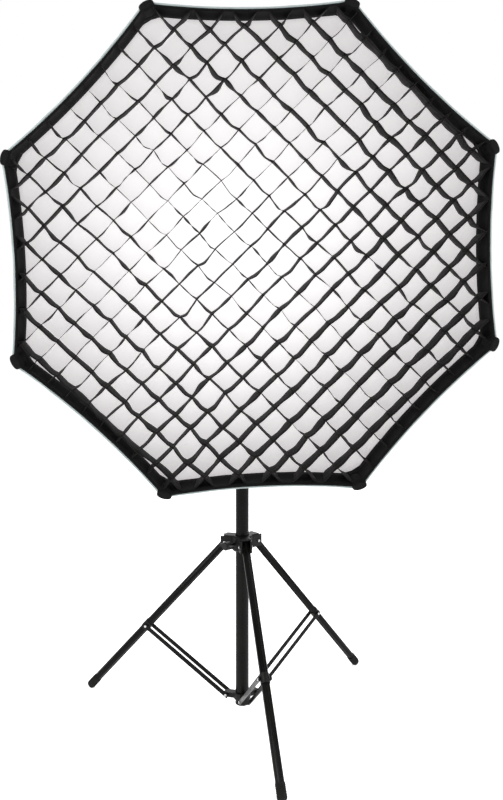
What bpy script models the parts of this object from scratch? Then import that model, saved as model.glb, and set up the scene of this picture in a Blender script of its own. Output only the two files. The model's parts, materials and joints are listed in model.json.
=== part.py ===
# Octagonal studio softbox with a fabric grid, carried by a flash head on a folding light stand.
# Metres, +Z up. The softbox faces -Y, and the origin is on the floor under the middle of the outline.
import math

import bmesh
import bpy
from mathutils import Matrix, Vector

GAP = 0.0003  # between neighbouring solids

# Stand
COLUMN_RADIUS = 0.0190
COLUMN_WALL = 0.0030
COLUMN_BOTTOM = 0.026
COLUMN_TOP = 0.925
RISER_1_RADIUS = 0.015
RISER_1_WALL = 0.0013
RISER_1_BOTTOM = 0.120
RISER_1_TOP = 1.045
RISER_2_RADIUS = 0.0125
RISER_2_WALL = 0.0012
RISER_2_BOTTOM = 0.200
RISER_2_TOP = 1.165
SPIGOT_RADIUS = 0.008
SPIGOT_TOP = 1.222

HUB_RADIUS = 0.030
HUB_HALF = 0.022  # half the height of the sliding hub
HUB_BORE = 0.0210  # 2 mm of play round the column
EAR_OFFSET = 0.0146  # from a fork's middle to the middle of each ear
LEG_AZIMUTHS = {"left": 157.7, "front": 277.7, "right": 37.7}  # degrees from +X towards +Y
LEG_PIVOT_RADIUS = 0.049
LEG_PIVOT_Z = 0.488
LEG_TUBE_RADIUS = 0.0115
LEG_TUBE_WALL = 0.0012
LEG_HEAD = 0.010  # of the tube above its pivot
FOOT_REACH = 0.491  # radius at which the leg's centre line meets FOOT_Z
FOOT_Z = 0.010
FOOT_RADIUS = 0.0130
LEG_RIVET_SHARE = 0.572  # of the way from the pivot to the foot

BRACE_PIVOT_RADIUS = 0.046
BRACE_PIVOT_Z = 0.043
BAR_OFFSET = 0.0152  # from the brace's middle to the middle of each bar
BAR_THICKNESS = 0.003
BAR_WIDTH = 0.012
BAR_END = 0.008
RIVET_RADIUS = 0.0042

# Swivel, tilt and flash head
TILT_AXIS_Z = 1.2597
TILT = math.radians(5.5)  # the optical axis points this far below the horizon
HEAD_AXIS_RISE = 0.095  # from the tilt axis to the optical axis
HEAD_WIDTH = 0.124
HEAD_HEIGHT = 0.120
HEAD_CORNER = 0.030
HEAD_WALL = 0.0025
HEAD_FRONT = -0.070
HEAD_REAR = 0.130
MOUNT_OUTER = 0.070
MOUNT_INNER = 0.046
PANEL_THICKNESS = 0.004
PANEL_Y = 0.126  # middle of the rear panel

# Softbox
ROLL = math.radians(1.9)  # counter-clockwise, seen from the front
RING_FRONT = 0.0954  # from the tilt axis forward to the front of the speed ring
RING_THICKNESS = 0.012
RING_OUTER = 0.078
RING_INNER = 0.052
SOFTBOX_DEPTH = 0.450
ROD_RADIUS = 0.0025
ROD_START_RADIUS = 0.070
ROD_TIP_RADIUS = 0.602
ROD_START_SLOPE = 2.35
SLEEVE_RADIUS = 0.005
SLEEVE_LENGTH = 0.022
SKIN_THICKNESS = 0.002
SKIN_COVER = 0.006  # from a rod's centre line to the outer skin, measured square to the skin
SLEEVE_ROOM = 0.004  # added at the back, where the skin passes the rod sleeves
SLEEVE_ROOM_DEPTH = 0.060
SIDE_BOW = 0.014  # how far the middle of a side pulls in at the rim
DIFFUSER_DEPTH = 0.388
BAFFLE_DEPTH = 0.200
GRID_BACK = 0.394
GRID_FRONT = 0.448
GRID_CELL = 0.110
GRID_STRIP = 0.003

FINISHES = {
    "satin_black": ((0.012, 0.012, 0.013), 0.38, 0.0),
    "cast_black": ((0.020, 0.020, 0.022), 0.50, 0.0),
    "black_plastic": ((0.015, 0.015, 0.016), 0.55, 0.0),
    "black_rubber": ((0.010, 0.010, 0.010), 0.85, 0.0),
    "bright_steel": ((0.62, 0.62, 0.64), 0.25, 1.0),
    "head_grey": ((0.045, 0.046, 0.050), 0.45, 0.0),
    "clear_glass": ((0.90, 0.92, 0.92), 0.08, 0.0),
    "lamp_glass": ((0.95, 0.93, 0.86), 0.20, 0.0),
    "board_green": ((0.020, 0.110, 0.050), 0.55, 0.0),
    "red_plastic": ((0.400, 0.020, 0.015), 0.45, 0.0),
    "black_nylon": ((0.010, 0.010, 0.011), 0.80, 0.0),
    "white_nylon": ((0.850, 0.840, 0.830), 0.75, 0.0),
    "grid_webbing": ((0.012, 0.012, 0.013), 0.85, 0.0),
    "rod_fibre": ((0.030, 0.030, 0.032), 0.35, 0.0),
}


def clear_scene():
    for item in list(bpy.data.objects):
        bpy.data.objects.remove(item, do_unlink=True)


def make_collection(name):
    made = bpy.data.collections.new(name)
    bpy.context.scene.collection.children.link(made)
    return made


clear_scene()
PARTS = make_collection("studio_softbox")
CUTTERS = make_collection("cutters")


def finish_material(name):
    found = bpy.data.materials.get(name)
    if found:
        return found
    colour, roughness, metallic = FINISHES[name]
    made = bpy.data.materials.new(name)
    made.use_nodes = True
    shader = made.node_tree.nodes["Principled BSDF"]
    shader.inputs["Base Color"].default_value = (*colour, 1.0)
    shader.inputs["Roughness"].default_value = roughness
    shader.inputs["Metallic"].default_value = metallic
    made.diffuse_color = (*colour, 1.0)
    return made


def pivot(name, parent, location=(0, 0, 0), rotation=(0, 0, 0)):
    """An empty on a joint's axis, which the pieces of that joint hang from."""
    empty = bpy.data.objects.new(name, None)
    empty.empty_display_size = 0.03
    PARTS.objects.link(empty)
    empty.parent = parent
    empty.location = location
    empty.rotation_euler = rotation
    return empty


def add_node(name, finish, data, parent, location=(0, 0, 0), rotation=(0, 0, 0)):
    node = bpy.data.objects.new(name, data)
    data.materials.append(finish_material(finish))
    PARTS.objects.link(node)
    node.parent = parent
    node.location = location
    node.rotation_euler = rotation
    return node


def turned(name, finish, profile, parent, location=(0, 0, 0), rotation=(0, 0, 0), closed=False, steps=24):
    """A turned piece about Z. The profile holds radius and height pairs, down its outer side."""
    last = len(profile) - 1
    edges = [(i, i + 1) for i in range(last)]
    if closed:
        edges.append((last, 0))
    mesh = bpy.data.meshes.new(name)
    mesh.from_pydata([(radius, 0, height) for radius, height in profile], edges, [])
    node = add_node(name, finish, mesh, parent, location, rotation)
    screw = node.modifiers.new("Turn", "SCREW")
    screw.steps = steps
    screw.render_steps = steps
    screw.use_merge_vertices = True
    screw.merge_threshold = 0.00001
    return node


def tube_profile(outer, inner, top, bottom):
    return [(outer, top), (outer, bottom), (inner, bottom), (inner, top)]


def add_box(shape, size, centre=(0, 0, 0), turn=None):
    matrix = Matrix.Translation(centre) @ (turn or Matrix()) @ Matrix.Diagonal((*size, 1))
    bmesh.ops.create_cube(shape, size=1, matrix=matrix)


def add_drum(shape, radius, length, centre, axis, segments=16):
    turn = Vector(axis).to_track_quat("Z", "Y").to_matrix().to_4x4()
    bmesh.ops.create_cone(
        shape,
        cap_ends=True,
        segments=segments,
        radius1=radius,
        radius2=radius,
        depth=length,
        matrix=Matrix.Translation(centre) @ turn,
    )


def solid(name, finish, shape, parent, location=(0, 0, 0), rotation=(0, 0, 0)):
    mesh = bpy.data.meshes.new(name)
    shape.to_mesh(mesh)
    shape.free()
    return add_node(name, finish, mesh, parent, location, rotation)


def combine(node, operation, shape):
    """Joins or cuts a node with the bodies of a bmesh, given in the node's own coordinates."""
    mesh = bpy.data.meshes.new(node.name + "_" + operation.lower())
    shape.to_mesh(mesh)
    shape.free()
    operand = bpy.data.objects.new(mesh.name, mesh)
    CUTTERS.objects.link(operand)
    operand.parent = node
    operand.hide_render = True
    operand.display_type = "WIRE"
    boolean = node.modifiers.new(operation.title(), "BOOLEAN")
    boolean.operation = operation
    boolean.object = operand
    return node


def plate(name, finish, outlines, thickness, parent, location=(0, 0, 0), rotation=(0, 0, 0)):
    """A flat plate: the first outline is its edge, and the others are holes."""
    curve = bpy.data.curves.new(name, "CURVE")
    curve.dimensions = "2D"
    curve.fill_mode = "BOTH"
    curve.extrude = thickness / 2
    for outline in outlines:
        spline = curve.splines.new("POLY")
        spline.points.add(len(outline) - 1)
        for point, (x, y) in zip(spline.points, outline):
            point.co = (x, y, 0, 1)
        spline.use_cyclic_u = True
    node = add_node(name, finish, curve, parent, location, rotation)
    weld = node.modifiers.new("Weld", "WELD")
    weld.merge_threshold = 0.00001
    return node


def rounded_rectangle(width, height, corner, centre=(0, 0), steps=4):
    points = []
    for quarter, (side_x, side_y) in enumerate(((1, 1), (-1, 1), (-1, -1), (1, -1))):
        for step in range(steps + 1):
            angle = math.radians(90 * (quarter + step / steps))
            x = side_x * (width / 2 - corner) + corner * math.cos(angle)
            y = side_y * (height / 2 - corner) + corner * math.sin(angle)
            points.append((centre[0] + x, centre[1] + y))
    return points


def circle(radius, centre=(0, 0), steps=20):
    angles = [math.tau * step / steps for step in range(steps)]
    return [(centre[0] + radius * math.cos(a), centre[1] + radius * math.sin(a)) for a in angles]


def wing_knob(name, parent, reach=0.022, head=0.010, stem=0.008, turned_by=0.0):
    """A clamping screw's wing knob: its screw comes out along -Z, its face is towards +Z, its wings along X."""
    profile = [(0, stem + 0.018), (head - 0.002, stem + 0.018), (head, stem + 0.016), (head, stem)]
    profile += [(0.004, stem), (0.004, 0), (0, 0)]
    knob = turned(name, "black_plastic", profile, parent, steps=16)
    wing = bmesh.new()
    add_box(wing, (2 * reach, 0.007, 0.012), (0, 0, stem + 0.009), Matrix.Rotation(turned_by, 4, "Z"))
    return combine(knob, "UNION", wing)


# ---- stand ----


def column(root):
    height = COLUMN_TOP - COLUMN_BOTTOM
    inner = COLUMN_RADIUS - COLUMN_WALL
    profile = tube_profile(COLUMN_RADIUS, inner, height, 0)
    turned("column_tube", "satin_black", profile, root, (0, 0, COLUMN_BOTTOM), closed=True)
    plug = inner - GAP
    flange = 0.0200
    cap = [(0, 0.020), (plug, 0.020), (plug, 0.008 - GAP), (flange, 0.008 - GAP), (flange, 0.002)]
    cap += [(flange - 0.002, 0), (0, 0)]
    turned("column_end_cap", "black_plastic", cap, root, (0, 0, COLUMN_BOTTOM - 0.008))


def lower_hub(root):
    inner = COLUMN_RADIUS + GAP
    profile = tube_profile(0.0245, inner, 0.010, -0.008)
    hub = turned("lower_hub", "cast_black", profile, root, (0, 0, BRACE_PIVOT_Z), closed=True)
    tongues = bmesh.new()
    length = 0.034
    for azimuth in LEG_AZIMUTHS.values():
        turn = Matrix.Rotation(math.radians(azimuth), 4, "Z")
        centre = turn @ Vector((0.0195 + length / 2, 0, 0))
        add_box(tongues, (length, 0.024, 0.014), centre, turn)
    combine(hub, "UNION", tongues)


def spread_hub(slider):
    """The sliding casting: a collar, and three forks that hold the tops of the legs."""
    rim = HUB_RADIUS - 0.003
    shoulder = HUB_HALF - 0.004
    collar = [(rim, HUB_HALF), (HUB_RADIUS, shoulder), (HUB_RADIUS, -shoulder), (rim, -HUB_HALF)]
    collar += [(HUB_BORE, -HUB_HALF), (HUB_BORE, HUB_HALF)]
    hub = turned("spread_hub", "cast_black", collar, slider, closed=True)
    ears, webs, rivets = bmesh.new(), bmesh.new(), bmesh.new()
    for azimuth in LEG_AZIMUTHS.values():
        turn = Matrix.Rotation(math.radians(azimuth), 4, "Z")
        for side in (-1, 1):
            add_box(ears, (0.036, 0.005, 0.034), turn @ Vector((0.043, side * EAR_OFFSET, 0.001)), turn)
            rivet = turn @ Vector((LEG_PIVOT_RADIUS, side * (EAR_OFFSET + 0.0025), 0))
            add_drum(rivets, 0.0055, 0.0036, rivet, turn @ Vector((0, 1, 0)), 12)
        add_box(webs, (0.030, 0.0316, 0.005), turn @ Vector((0.0365, 0, 0.0192)), turn)
    combine(hub, "UNION", ears)
    combine(hub, "UNION", webs)
    combine(hub, "UNION", rivets)


def spread_lock(slider):
    azimuth = (LEG_AZIMUTHS["left"] + LEG_AZIMUTHS["front"]) / 2
    turn = math.radians(azimuth)
    start = HUB_RADIUS + GAP
    axis = pivot(
        "spread_lock_axis",
        slider,
        (start * math.cos(turn), start * math.sin(turn), 0),
        (0, math.pi / 2, turn),
    )
    wing_knob("spread_lock_knob", axis, reach=0.026, head=0.012, stem=0.020, turned_by=math.pi / 2)


def leg_length():
    return math.hypot(FOOT_REACH - LEG_PIVOT_RADIUS, LEG_PIVOT_Z - FOOT_Z)


def leg_angle():
    return math.atan2(FOOT_REACH - LEG_PIVOT_RADIUS, LEG_PIVOT_Z - FOOT_Z)


def brace_angle():
    """The brace's angle from the vertical and its length, from its lower pivot to the rivet on the leg."""
    rivet = LEG_RIVET_SHARE * leg_length()
    out = LEG_PIVOT_RADIUS + rivet * math.sin(leg_angle()) - BRACE_PIVOT_RADIUS
    up = LEG_PIVOT_Z - rivet * math.cos(leg_angle()) - BRACE_PIVOT_Z
    return math.atan2(out, up), math.hypot(out, up)


def leg(side, slider):
    """One leg, which runs down the pivot's -Z."""
    turn = math.radians(LEG_AZIMUTHS[side])
    place = (LEG_PIVOT_RADIUS * math.cos(turn), LEG_PIVOT_RADIUS * math.sin(turn), 0)
    axis = pivot(side + "_leg_pivot", slider, place, (0, -leg_angle(), turn))
    tip = -leg_length() - 0.008
    end = tip + 0.006
    inner = LEG_TUBE_RADIUS - LEG_TUBE_WALL
    turned(
        side + "_leg_tube", "satin_black", tube_profile(LEG_TUBE_RADIUS, inner, LEG_HEAD, end), axis,
        closed=True, steps=16,
    )
    bore = LEG_TUBE_RADIUS + GAP
    cap = [(bore, tip + 0.040), (FOOT_RADIUS, tip + 0.038), (FOOT_RADIUS, tip + 0.003), (FOOT_RADIUS - 0.003, tip)]
    cap += [(0, tip), (0, end - GAP), (bore, end - GAP)]
    foot = turned(side + "_leg_foot", "black_rubber", cap, axis, closed=False, steps=16)
    close_cap(foot)
    floor = bmesh.new()
    below = axis_to_floor(0.1)
    add_box(floor, (0.2, 0.2, 0.1), below, Matrix.Rotation(leg_angle(), 4, "Y"))
    combine(foot, "DIFFERENCE", floor)
    rivet = -LEG_RIVET_SHARE * leg_length()
    sleeve = tube_profile(0.0131, LEG_TUBE_RADIUS + GAP, rivet + 0.013, rivet - 0.013)
    turned(side + "_leg_bracket", "cast_black", sleeve, axis, closed=True, steps=16)


def close_cap(foot):
    """Joins the last point of the foot's profile to its first, around the bore's mouth."""
    mesh = foot.data
    mesh.edges.add(1)
    mesh.edges[-1].vertices = (len(mesh.vertices) - 1, 0)


def axis_to_floor(thickness):
    """The middle of a block whose top is the floor, in the leg pivot's coordinates."""
    foot = Vector((FOOT_REACH - LEG_PIVOT_RADIUS, 0, -LEG_PIVOT_Z - thickness / 2))
    return Matrix.Rotation(leg_angle(), 4, "Y") @ foot


def brace(side, root):
    """Two flat bars on either side of the leg, which run up the pivot's +Z."""
    angle, length = brace_angle()
    turn = math.radians(LEG_AZIMUTHS[side])
    place = (BRACE_PIVOT_RADIUS * math.cos(turn), BRACE_PIVOT_RADIUS * math.sin(turn), BRACE_PIVOT_Z)
    axis = pivot(side + "_brace_pivot", root, place, (0, angle, turn))
    for letter, way in (("a", -1), ("b", 1)):
        bar = bmesh.new()
        middle = way * BAR_OFFSET
        add_box(bar, (BAR_WIDTH, BAR_THICKNESS, length + 2 * BAR_END), (0, middle, length / 2))
        node = solid(side + "_brace_bar_" + letter, "satin_black", bar, axis)
        rivets = bmesh.new()
        for height in (0, length):
            add_drum(rivets, RIVET_RADIUS, 0.003, (0, middle + way * 0.0017, height), (0, 1, 0), 12)
        combine(node, "UNION", rivets)


def clamp(name, parent, outer, low_radius, high_radius, bottom, top, tube_top):
    """A collar on the top of one tube that squeezes the next, with a lug at the back for its screw."""
    low = low_radius + GAP
    high = high_radius + GAP
    profile = [(outer - 0.002, top), (outer, top - 0.002), (outer, bottom), (low, bottom)]
    profile += [(low, tube_top + GAP), (high, tube_top + GAP), (high, top)]
    collar = turned(name, "black_plastic", profile, parent, closed=True)
    lug = bmesh.new()
    add_box(lug, (0.018, 0.014, 0.024), (0, outer + 0.003, (top + bottom) / 2))
    return combine(collar, "UNION", lug)


def clamp_screw(name, parent, outer, height):
    axis = pivot(name + "_axis", parent, (0, outer + 0.010 + GAP, height), (-math.pi / 2, 0, 0))
    wing_knob(name, axis)


def risers(root):
    """The two inner sections, their clamps and the spigot on top. Returns the upper one's empty."""
    clamp("column_clamp", root, 0.026, COLUMN_RADIUS, RISER_1_RADIUS, 0.893, 0.935, COLUMN_TOP)
    clamp_screw("column_clamp_knob", root, 0.026, 0.914)
    lower = pivot("riser_1_slider", root, (0, 0, RISER_1_BOTTOM))
    height = RISER_1_TOP - RISER_1_BOTTOM
    profile = tube_profile(RISER_1_RADIUS, RISER_1_RADIUS - RISER_1_WALL, height, 0)
    turned("riser_1_tube", "satin_black", profile, lower, closed=True)
    base = RISER_1_TOP - RISER_1_BOTTOM
    clamp("riser_1_clamp", lower, 0.023, RISER_1_RADIUS, RISER_2_RADIUS, base - 0.030, base + 0.010, base)
    clamp_screw("riser_1_clamp_knob", lower, 0.023, base - 0.010)
    upper = pivot("riser_2_slider", lower, (0, 0, RISER_2_BOTTOM - RISER_1_BOTTOM))
    length = RISER_2_TOP - RISER_2_BOTTOM
    inner = RISER_2_RADIUS - RISER_2_WALL
    turned("riser_2_tube", "satin_black", tube_profile(RISER_2_RADIUS, inner, length, 0), upper, closed=True)
    stud = SPIGOT_TOP - RISER_2_BOTTOM
    plug = inner - GAP
    profile = [(0, stud), (SPIGOT_RADIUS - 0.001, stud), (SPIGOT_RADIUS, stud - 0.001), (SPIGOT_RADIUS, length + 0.012)]
    profile += [(0.0135, length + 0.012), (0.0135, length + GAP), (plug, length + GAP), (plug, length - 0.030)]
    profile += [(0, length - 0.030)]
    turned("stand_spigot", "bright_steel", profile, upper)
    return upper


# ---- swivel, tilt and head ----


def swivel(upper):
    """The socket on the spigot. Returns the swivel's empty, which is at the height of the tilt axis."""
    axis = pivot("head_swivel", upper, (0, 0, TILT_AXIS_Z - RISER_2_BOTTOM))
    bottom = RISER_2_TOP + 0.012 + GAP - TILT_AXIS_Z
    bore = SPIGOT_RADIUS + GAP
    bore_top = SPIGOT_TOP + 0.001 - TILT_AXIS_Z
    profile = [(0, -0.024), (0.019, -0.024), (0.021, -0.026), (0.021, bottom), (bore, bottom), (bore, bore_top)]
    profile += [(0, bore_top)]
    socket = turned("swivel_socket", "cast_black", profile, axis)
    ears = bmesh.new()
    for side in (-1, 1):
        add_box(ears, (0.006, 0.030, 0.028), (side * 0.0151, 0, -0.014))
    combine(socket, "UNION", ears)
    rounds = bmesh.new()
    for side in (-1, 1):
        add_drum(rounds, 0.0165, 0.0064, (side * 0.0151, 0, 0), (1, 0, 0), 20)
    combine(socket, "UNION", rounds)
    screw = pivot("socket_knob_axis", axis, (-0.021 - GAP, 0, -0.052), (0, -math.pi / 2, 0))
    wing_knob("socket_knob", screw, reach=0.018, head=0.009)
    return axis


def tilt_handle(axis):
    """The lever that locks the tilt, on the right-hand ear."""
    grip = pivot("tilt_handle_axis", axis, (0.0183 + GAP, 0, 0), (math.radians(-60), 0, 0))
    boss = bmesh.new()
    add_drum(boss, 0.012, 0.014, (0.007, 0, 0), (1, 0, 0), 20)
    lever = solid("tilt_handle", "black_plastic", boss, grip)
    arm = bmesh.new()
    add_box(arm, (0.009, 0.078, 0.011), (0.0085, 0.044, 0))
    combine(lever, "UNION", arm)


def tilt_yoke(tilt):
    boss = bmesh.new()
    add_drum(boss, 0.016, 0.0232, (0, 0, 0), (1, 0, 0), 20)
    yoke = solid("tilt_yoke", "cast_black", boss, tilt)
    post = bmesh.new()
    under = HEAD_AXIS_RISE - HEAD_HEIGHT / 2 - GAP
    add_box(post, (0.023, 0.026, under - 0.003), (0, 0, (under - 0.003) / 2))
    combine(yoke, "UNION", post)
    foot = bmesh.new()
    add_box(foot, (0.056, 0.090, 0.006), (0, 0.010, under - 0.003))
    combine(yoke, "UNION", foot)


def head_shell(head):
    inner_width = HEAD_WIDTH - 2 * HEAD_WALL
    inner_height = HEAD_HEIGHT - 2 * HEAD_WALL
    inner_corner = HEAD_CORNER - HEAD_WALL
    outlines = [
        rounded_rectangle(HEAD_WIDTH, HEAD_HEIGHT, HEAD_CORNER),
        rounded_rectangle(inner_width, inner_height, inner_corner),
    ]
    middle = (HEAD_FRONT + HEAD_REAR) / 2
    upright = (math.pi / 2, 0, 0)
    plate("head_housing", "head_grey", outlines, HEAD_REAR - HEAD_FRONT, head, (0, middle, 0), upright)
    panel = [rounded_rectangle(inner_width - 2 * GAP, inner_height - 2 * GAP, inner_corner - GAP)]
    for control in CONTROLS.values():
        panel.append(control["hole"])
    plate("head_rear_panel", "black_plastic", panel, PANEL_THICKNESS, head, (0, PANEL_Y, 0), upright)
    ring = tube_profile(MOUNT_OUTER, MOUNT_INNER, RING_THICKNESS, 0)
    turned("head_front_ring", "cast_black", ring, head, (0, HEAD_FRONT - GAP, 0), upright, closed=True, steps=32)


# Controls on the rear panel: the middle of each, and its hole in the panel, both across and up.
CONTROLS = {
    "inlet": {"at": (0, -0.034), "hole": rounded_rectangle(0.0306, 0.0226, 0.0002, (0, -0.034), 1)},
    "dial": {"at": (-0.026, 0.018), "hole": circle(0.0046, (-0.026, 0.018), 12)},
    "switch": {"at": (0.032, 0.018), "hole": rounded_rectangle(0.0136, 0.0204, 0.0002, (0.032, 0.018), 1)},
    "button": {"at": (0.008, 0.026), "hole": circle(0.0056, (0.008, 0.026), 12)},
}


def controls(head):
    face = PANEL_Y + PANEL_THICKNESS / 2 + GAP
    across, up = CONTROLS["dial"]["at"]
    axis = pivot("power_dial_axis", head, (across, face, up), (-math.pi / 2, 0, 0))
    dial = [(0, 0.014), (0.0125, 0.014), (0.014, 0.0125), (0.014, 0), (0.0042, 0), (0.0042, -0.012), (0, -0.012)]
    knob = turned("power_dial", "black_plastic", dial, axis)
    pointer = bmesh.new()
    add_box(pointer, (0.003, 0.012, 0.002), (0, 0.006, 0.0145))
    combine(knob, "UNION", pointer)

    across, up = CONTROLS["button"]["at"]
    slider = pivot("test_button_slider", head, (across, face, up), (-math.pi / 2, 0, 0))
    button = [(0, 0.005), (0.0045, 0.005), (0.0053, 0.004), (0.0053, -0.010), (0, -0.010)]
    turned("test_button", "red_plastic", button, slider, steps=16)

    across, up = CONTROLS["switch"]["at"]
    rocker = pivot("power_switch_axis", head, (across, PANEL_Y, up), (math.radians(-8), 0, 0))
    drum = bmesh.new()
    add_drum(drum, 0.0096, 0.0128, (0, 0, 0), (1, 0, 0), 20)
    switch = solid("power_switch", "black_plastic", drum, rocker)
    paddle = bmesh.new()
    add_box(paddle, (0.0128, 0.006, 0.018), (0, 0.0072, 0))
    combine(switch, "UNION", paddle)

    across, up = CONTROLS["inlet"]["at"]
    block = bmesh.new()
    add_box(block, (0.030, 0.026, 0.022), (across, PANEL_Y - 0.008, up))
    inlet = solid("power_inlet", "black_plastic", block, head)
    recess = bmesh.new()
    add_box(recess, (0.024, 0.020, 0.016), (across, PANEL_Y - 0.002, up))
    combine(inlet, "DIFFERENCE", recess)


def head_insides(head):
    """The lamp base and lamps in front, the circuit board and flash capacitor behind them."""
    facing = (math.pi / 2, 0, 0)
    base = [(0, 0.006), (0.044, 0.006), (0.044, 0), (0, 0)]
    turned("lamp_base", "white_nylon", base, head, (0, HEAD_FRONT - 0.002, 0), facing)
    front = HEAD_FRONT - 0.008 - GAP
    hoop = bmesh.new()
    bmesh.ops.create_circle(hoop, segments=10, radius=0.004, matrix=Matrix.Translation((0.030, 0, 0)) @ facing_x())
    mesh = bpy.data.meshes.new("flash_tube")
    hoop.to_mesh(mesh)
    hoop.free()
    tube = add_node("flash_tube", "lamp_glass", mesh, head, (0, front - 0.009, 0), facing)
    screw = tube.modifiers.new("Turn", "SCREW")
    screw.steps = 24
    screw.render_steps = 24
    screw.merge_threshold = 0.00001
    lamp = [(0, 0.044), (0.006, 0.042), (0.010, 0.037), (0.011, 0.030), (0.010, 0.018), (0.007, 0.012)]
    lamp += [(0.0075, 0.011), (0.0075, 0), (0, 0)]
    turned("modelling_lamp", "lamp_glass", lamp, head, (0, front, 0), facing, steps=16)
    dome(head, front, facing)
    board = bmesh.new()
    add_box(board, (0.0016, 0.120, 0.090), (0.045, 0.030, 0))
    solid("circuit_board", "board_green", board, head)
    can = [(0, 0.070), (0.023, 0.070), (0.025, 0.068), (0.025, 0.002), (0.023, 0), (0, 0)]
    turned("flash_capacitor", "black_plastic", can, head, (-0.020, 0.060, 0), facing)


def facing_x():
    return Matrix.Rotation(math.pi / 2, 4, "X")


def dome(head, front, facing):
    """The glass cover over the lamps, an open-backed bell."""
    outer, wall, straight = 0.0455, 0.0015, 0.022
    steps = 8
    angles = [math.pi / 2 * (1 - step / steps) for step in range(steps + 1)]
    inner = outer - wall
    outside = [(outer * math.cos(a), straight + outer * 0.8 * math.sin(a)) for a in angles]
    inside = [(inner * math.cos(a), straight + inner * 0.8 * math.sin(a)) for a in reversed(angles)]
    profile = [(0, outside[0][1])] + outside[1:] + [(outer, 0), (inner, 0)] + inside[:-1] + [(0, inside[-1][1])]
    turned("glass_dome", "clear_glass", profile, head, (0, front, 0), facing)


def mount_release(head):
    """The sliding catch on top of the head that frees the speed ring."""
    catch = bmesh.new()
    add_box(catch, (0.016, 0.014, 0.006), (0, 0, 0.003))
    slider = pivot("mount_release_slider", head, (0, HEAD_FRONT + 0.012, HEAD_HEIGHT / 2 + GAP))
    button = solid("mount_release", "black_plastic", catch, slider)
    ridge = bmesh.new()
    add_box(ridge, (0.016, 0.004, 0.004), (0, 0.003, 0.0075))
    combine(button, "UNION", ridge)


# ---- softbox ----


def rod_radius(depth):
    """The radius of a rod's centre line at a depth in front of the speed ring: a parabola."""
    share = depth / SOFTBOX_DEPTH
    rise = ROD_TIP_RADIUS - ROD_START_RADIUS
    linear = ROD_START_SLOPE * SOFTBOX_DEPTH
    return ROD_START_RADIUS + linear * share + (rise - linear) * share * share


def rod_slope(depth):
    linear = ROD_START_SLOPE * SOFTBOX_DEPTH
    rise = ROD_TIP_RADIUS - ROD_START_RADIUS
    return (linear + 2 * (rise - linear) * depth / SOFTBOX_DEPTH) / SOFTBOX_DEPTH


def skin_radius(depth):
    """The radius of the skin's outer corners."""
    room = SLEEVE_ROOM * max(1 - depth / SLEEVE_ROOM_DEPTH, 0)
    return rod_radius(depth) + SKIN_COVER * math.hypot(1, rod_slope(depth)) + room


def octagon_point(step, radius, bow):
    """One of 16 points: the odd ones are corners, and the even ones the pulled-in middles of sides."""
    angle = math.radians(22.5 * step)
    if step % 2 == 0:
        radius = radius * math.cos(math.radians(22.5)) - bow
    return radius * math.cos(angle), radius * math.sin(angle)


def side_bow(depth):
    return SIDE_BOW * depth / SOFTBOX_DEPTH


def octagon(radius, bow):
    return [octagon_point(step, radius, bow) for step in range(16)]


def skin_depths():
    return [SOFTBOX_DEPTH * (step / 9) ** 1.35 for step in range(10)]


def speed_ring(axis):
    """The ring and its eight rod sleeves, all in front of the head's mount."""
    profile = [(RING_OUTER - 0.002, 0), (RING_OUTER, -0.002), (RING_OUTER, -RING_THICKNESS)]
    profile += [(RING_INNER, -RING_THICKNESS), (RING_INNER, 0)]
    ring = turned("speed_ring", "cast_black", profile, axis, (0, 0, 0), (math.pi / 2, 0, 0), closed=True, steps=32)
    sleeves = bmesh.new()
    for index in range(8):
        start, way = rod_start(index)
        centre = start + way * (SLEEVE_LENGTH / 2 - 0.004)
        add_drum(sleeves, SLEEVE_RADIUS, SLEEVE_LENGTH + 0.004, centre, way, 10)
    ring_turn = Matrix.Rotation(-math.pi / 2, 4, "X")
    bmesh.ops.transform(sleeves, matrix=ring_turn, verts=sleeves.verts)
    combine(ring, "UNION", sleeves)


def rod_point(index, depth):
    angle = math.radians(22.5 + 45 * index)
    radius = rod_radius(depth)
    return Vector((radius * math.cos(angle), -depth, radius * math.sin(angle)))


def rod_start(index):
    start = rod_point(index, 0)
    way = (rod_point(index, 0.002) - start).normalized()
    return start, way


def rods(axis):
    for index in range(8):
        curve = bpy.data.curves.new("rod_%d" % (index + 1), "CURVE")
        curve.dimensions = "3D"
        curve.bevel_depth = ROD_RADIUS
        curve.bevel_resolution = 2
        curve.use_fill_caps = True
        start, way = rod_start(index)
        points = [start + way * (SLEEVE_LENGTH - 0.002 + GAP)]
        points += [rod_point(index, depth) for depth in skin_depths()[1:]]
        points[-1] = rod_point(index, SOFTBOX_DEPTH - 0.003)
        spline = curve.splines.new("POLY")
        spline.points.add(len(points) - 1)
        for spot, point in zip(spline.points, points):
            spot.co = (*point, 1)
        node = add_node(curve.name, "rod_fibre", curve, axis)
        weld = node.modifiers.new("Weld", "WELD")
        weld.merge_threshold = 0.00001


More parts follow.
